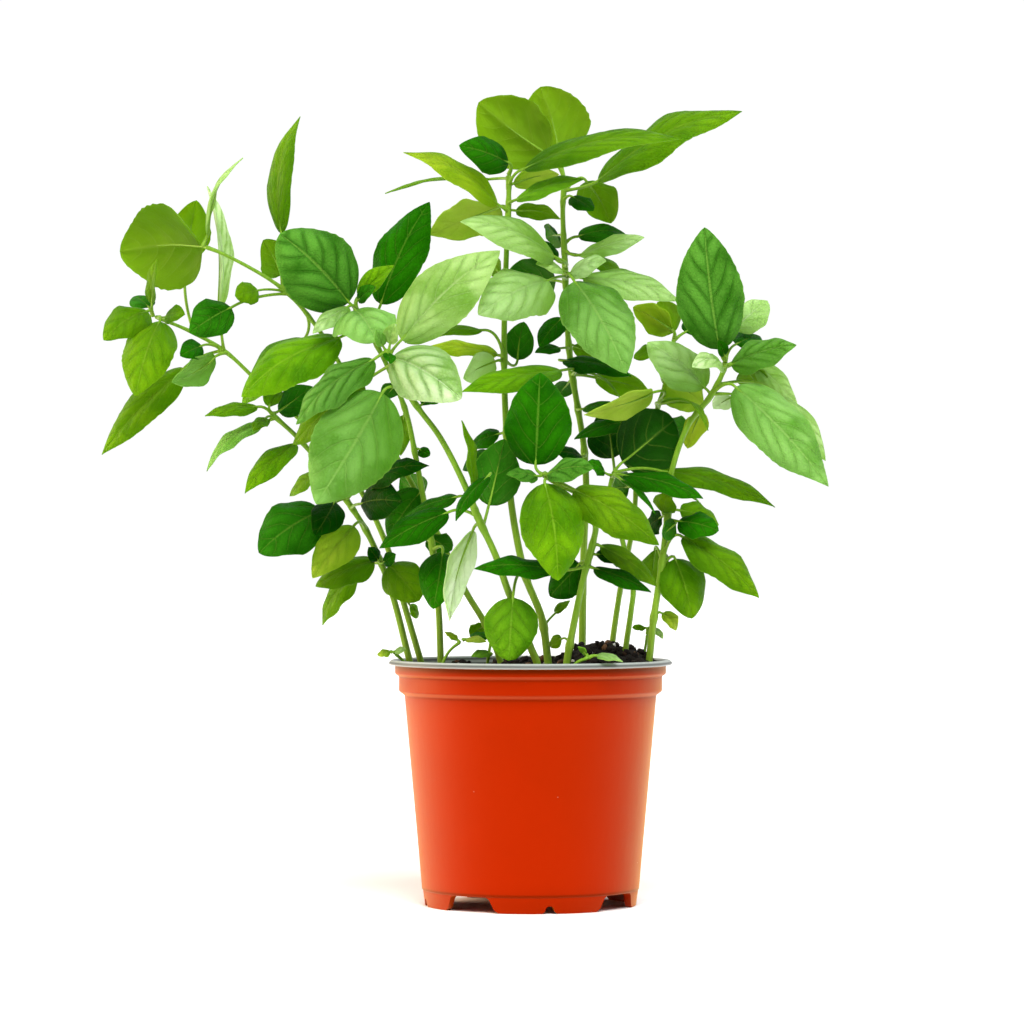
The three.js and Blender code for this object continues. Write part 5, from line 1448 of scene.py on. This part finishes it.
def scatter_grains(growth, chance, count, sizes, detail, index):
    """Loose grains of uneven shape, half sunk in the soil"""
    for _ in range(count):
        angle = chance.uniform(0, 2 * math.pi)
        radius = (SOIL_RADIUS - GRAIN_MARGIN) * math.sqrt(chance.random())
        x = radius * math.cos(angle)
        y = radius * math.sin(angle)
        size = chance.uniform(*sizes) / 2
        stretch = Vector([chance.uniform(*limits) for limits in STRETCHES])
        spin = Euler([chance.uniform(0, math.pi) for _ in range(3)]).to_matrix()
        middle = POT_AXIS + Vector((x, y, soil_height(x, y) + crumble(x, y) + size * GRAIN_RISE))
        seed = Vector([chance.random() for _ in range(3)]) * NOISE_RANGE
        made = bmesh.ops.create_icosphere(growth.mesh, subdivisions=detail, radius=1)["verts"]
        light = chance.random()
        for vert in made:
            rough = 1 + GRAIN_ROUGHNESS * noise.noise(vert.co * GRAIN_LUMPS + seed)
            vert.co = middle + spin @ (vert.co * stretch) * (size * rough)
            vert[growth.light] = light
        for face in {face for vert in made for face in vert.link_faces}:
            face.material_index = index


def white_surroundings(studio):
    """White light, strongest from behind and above, seen as plain white behind the plant"""
    shader = Shader(bpy.data.worlds.new("white surroundings"))
    way = shader.node("ShaderNodeTexCoord").value("Generated")
    parts = shader.node("ShaderNodeSeparateXYZ", None, {"Vector": way})
    behind = 1.0 - parts.value("Y").band(*FADES_BEHIND)
    above = 1.0 - parts.value("Z").band(*FADES_ABOVE)
    light = behind * studio.behind + above * studio.above + studio.front
    seen = shader.node("ShaderNodeLightPath").value("Is Camera Ray")
    strength = light * (1.0 - seen) + seen * BACKDROP
    background = shader.node("ShaderNodeBackground", None, {"Color": WHITE, "Strength": strength})
    return shader.finish(background.value(), "ShaderNodeOutputWorld")


def add_lamp(name, kind, power, colour, place, **size):
    """A soft lamp that shines at the plant's middle"""
    lamp = bpy.data.lights.new(name, kind)
    lamp.energy = power
    lamp.color = colour
    for key, setting in size.items():
        setattr(lamp, key, setting)
    light = bpy.data.objects.new(name, lamp)
    light.location = POT_AXIS + Vector(place)
    target = POT_AXIS + Vector((0, 0, LIT_HEIGHT))
    light.rotation_euler = (target - light.location).to_track_quat("-Z", "Y").to_euler()
    bpy.context.scene.collection.objects.link(light)


def new_studio(studio):
    """The camera, two soft lamps, white surroundings and a pale floor"""
    scene = bpy.context.scene
    scene.view_settings.view_transform = "Standard"
    camera = bpy.data.objects.new("camera", bpy.data.cameras.new("camera"))
    camera.data.lens = studio.lens
    camera.data.sensor_width = SENSOR_WIDTH
    camera.data.clip_end = FARTHEST_SEEN
    camera.location = POT_AXIS + Vector((studio.eye_offset, -studio.distance, studio.eye_height))
    camera.rotation_euler = (math.radians(90) + studio.tilt, 0, 0)
    scene.collection.objects.link(camera)
    scene.camera = camera
    scene.world = white_surroundings(studio)
    add_lamp("key", "SUN", studio.key, KEY_COLOUR, KEY_PLACE, angle=KEY_ANGLE)
    add_lamp("left", "AREA", studio.left, LEFT_COLOUR, LEFT_PLACE, size=LEFT_SIZE)
    ground = bmesh.new()
    bmesh.ops.create_circle(ground, cap_ends=True, segments=FLOOR_SIDES, radius=FLOOR_RADIUS)
    floor = new_object("floor", ground, [floor_paper(studio.floor)])


def floor_paper(plain):
    """Pale matt paper with a faint tooth"""
    shader = material_shader("floor paper")
    relief = shader.bump(shader.clouds(PAPER_TOOTH), 0.1 * MM, 0.3)
    return shader.finish(shader.surface(Base_Color=(*plain, 1.0), Roughness=0.9, Normal=relief))


class BASIL_OT_add_pot(Operator):
    """Adds the moulded nursery pot"""

    bl_idname = "basil.add_pot"
    bl_label = "Nursery pot"

    def execute(self, context):
        pot = context.scene.basil_pot
        # Heights of the painted shade and of the painted highlight lines on the pot
        painted_shade = [(pot.height - depth, *rest) for depth, *rest in SHADE_BELOW_RIM]
        painted_shade.append((pot.foot_height + HEEL_CREASE_HEIGHT, *HEEL_CREASE_SHADE))
        edges = [[pot.height - depth for depth in depths] for depths in (LIT_STEPS, LIT_RIM)]
        outside = pot_plastic("terracotta-orange plastic", tuple(pot.outside), roughness=0.33,
                              sheen_colour=ORANGE_SHEEN, glow=0.50, painted_shade=painted_shade,
                              edges=edges[0], highlight_colour=ORANGE_PAINTED_HIGHLIGHT, highlight_share=0.20)
        inside = pot_plastic("grey plastic", tuple(pot.inside), roughness=0.26,
                             sheen_colour=WHITE, glow=0.0, painted_shade=[],
                             edges=edges[1], highlight_colour=GREY_PAINTED_HIGHLIGHT, highlight_share=0.50)
        moulded_pot(pot, (outside, inside))
        return {"FINISHED"}


class BASIL_OT_add_soil(Operator):
    """Adds the soil with its crumbs, bark chips and white grains"""

    bl_idname = "basil.add_soil"
    bl_label = "Potting soil"

    def execute(self, context):
        soil = context.scene.basil_soil
        chance = random.Random(SEED)
        growth = Growth()
        soil_bed(growth)
        scatter_grains(growth, chance, soil.crumbs, CRUMB_SIZES, detail=1, index=0)
        scatter_grains(growth, chance, soil.chips, CHIP_SIZES, detail=2, index=1)
        scatter_grains(growth, chance, soil.perlite, PERLITE_SIZES, detail=2, index=2)
        materials = (
            soil_grain("moist peat", tuple(soil.peat), roughness=0.92, depth=1.2 * MM),
            soil_grain("bark", tuple(soil.bark), roughness=0.80, depth=0.6 * MM),
            soil_grain("perlite", tuple(soil.white), roughness=0.85, depth=0.4 * MM),
        )
        growth.piece("soil_bed", materials, "potting_soil", "potting_soil", SOIL_SHARPNESS)
        return {"FINISHED"}


class BASIL_OT_add_leafy_stems(Operator):
    """Adds every leafy stem with its leaves"""

    bl_idname = "basil.add_leafy_stems"
    bl_label = "Leafy stems"

    def execute(self, context):
        foliage = context.scene.basil_foliage
        materials = foliage_materials(foliage)
        for plant in LEAFY_STEMS + SEEDLINGS:
            grow_plant(plant, foliage, materials)
        return {"FINISHED"}


class BASIL_OT_add_studio(Operator):
    """Adds the camera, the soft lights and the pale floor"""

    bl_idname = "basil.add_studio"
    bl_label = "Studio"

    def execute(self, context):
        new_studio(context.scene.basil_studio)
        return {"FINISHED"}


class BASIL_PT_sidebar(Panel):
    """Buttons that add the pieces, and the settings that they use"""

    bl_idname = "BASIL_PT_sidebar"
    bl_label = "Potted basil"
    bl_space_type = "VIEW_3D"
    bl_region_type = "UI"
    bl_category = "Basil"

    def draw(self, context):
        for operator in OPERATORS:
            self.layout.operator(operator.bl_idname)
        for name in SETTINGS:
            box = self.layout.box()
            group = getattr(context.scene, name)
            for key in group.__annotations__:
                box.prop(group, key)


OPERATORS = (BASIL_OT_add_pot, BASIL_OT_add_soil, BASIL_OT_add_leafy_stems, BASIL_OT_add_studio)
SETTINGS = {
    "basil_foliage": BasilFoliageSettings,
    "basil_pot": NurseryPotSettings,
    "basil_soil": PottingSoilSettings,
    "basil_studio": BasilStudioSettings,
}


def register():
    for group in SETTINGS.values():
        bpy.utils.register_class(group)
    for name, group in SETTINGS.items():
        setattr(bpy.types.Scene, name, PointerProperty(type=group))
    for operator in OPERATORS:
        bpy.utils.register_class(operator)
    bpy.utils.register_class(BASIL_PT_sidebar)


def unregister():
    bpy.utils.unregister_class(BASIL_PT_sidebar)
    for operator in reversed(OPERATORS):
        bpy.utils.unregister_class(operator)
    for name, group in reversed(SETTINGS.items()):
        delattr(bpy.types.Scene, name)
        bpy.utils.unregister_class(group)


def main():
    register()
    bpy.ops.basil.add_studio()
    bpy.ops.basil.add_pot()
    bpy.ops.basil.add_soil()
    bpy.ops.basil.add_leafy_stems()


if __name__ == "__main__":
    main()
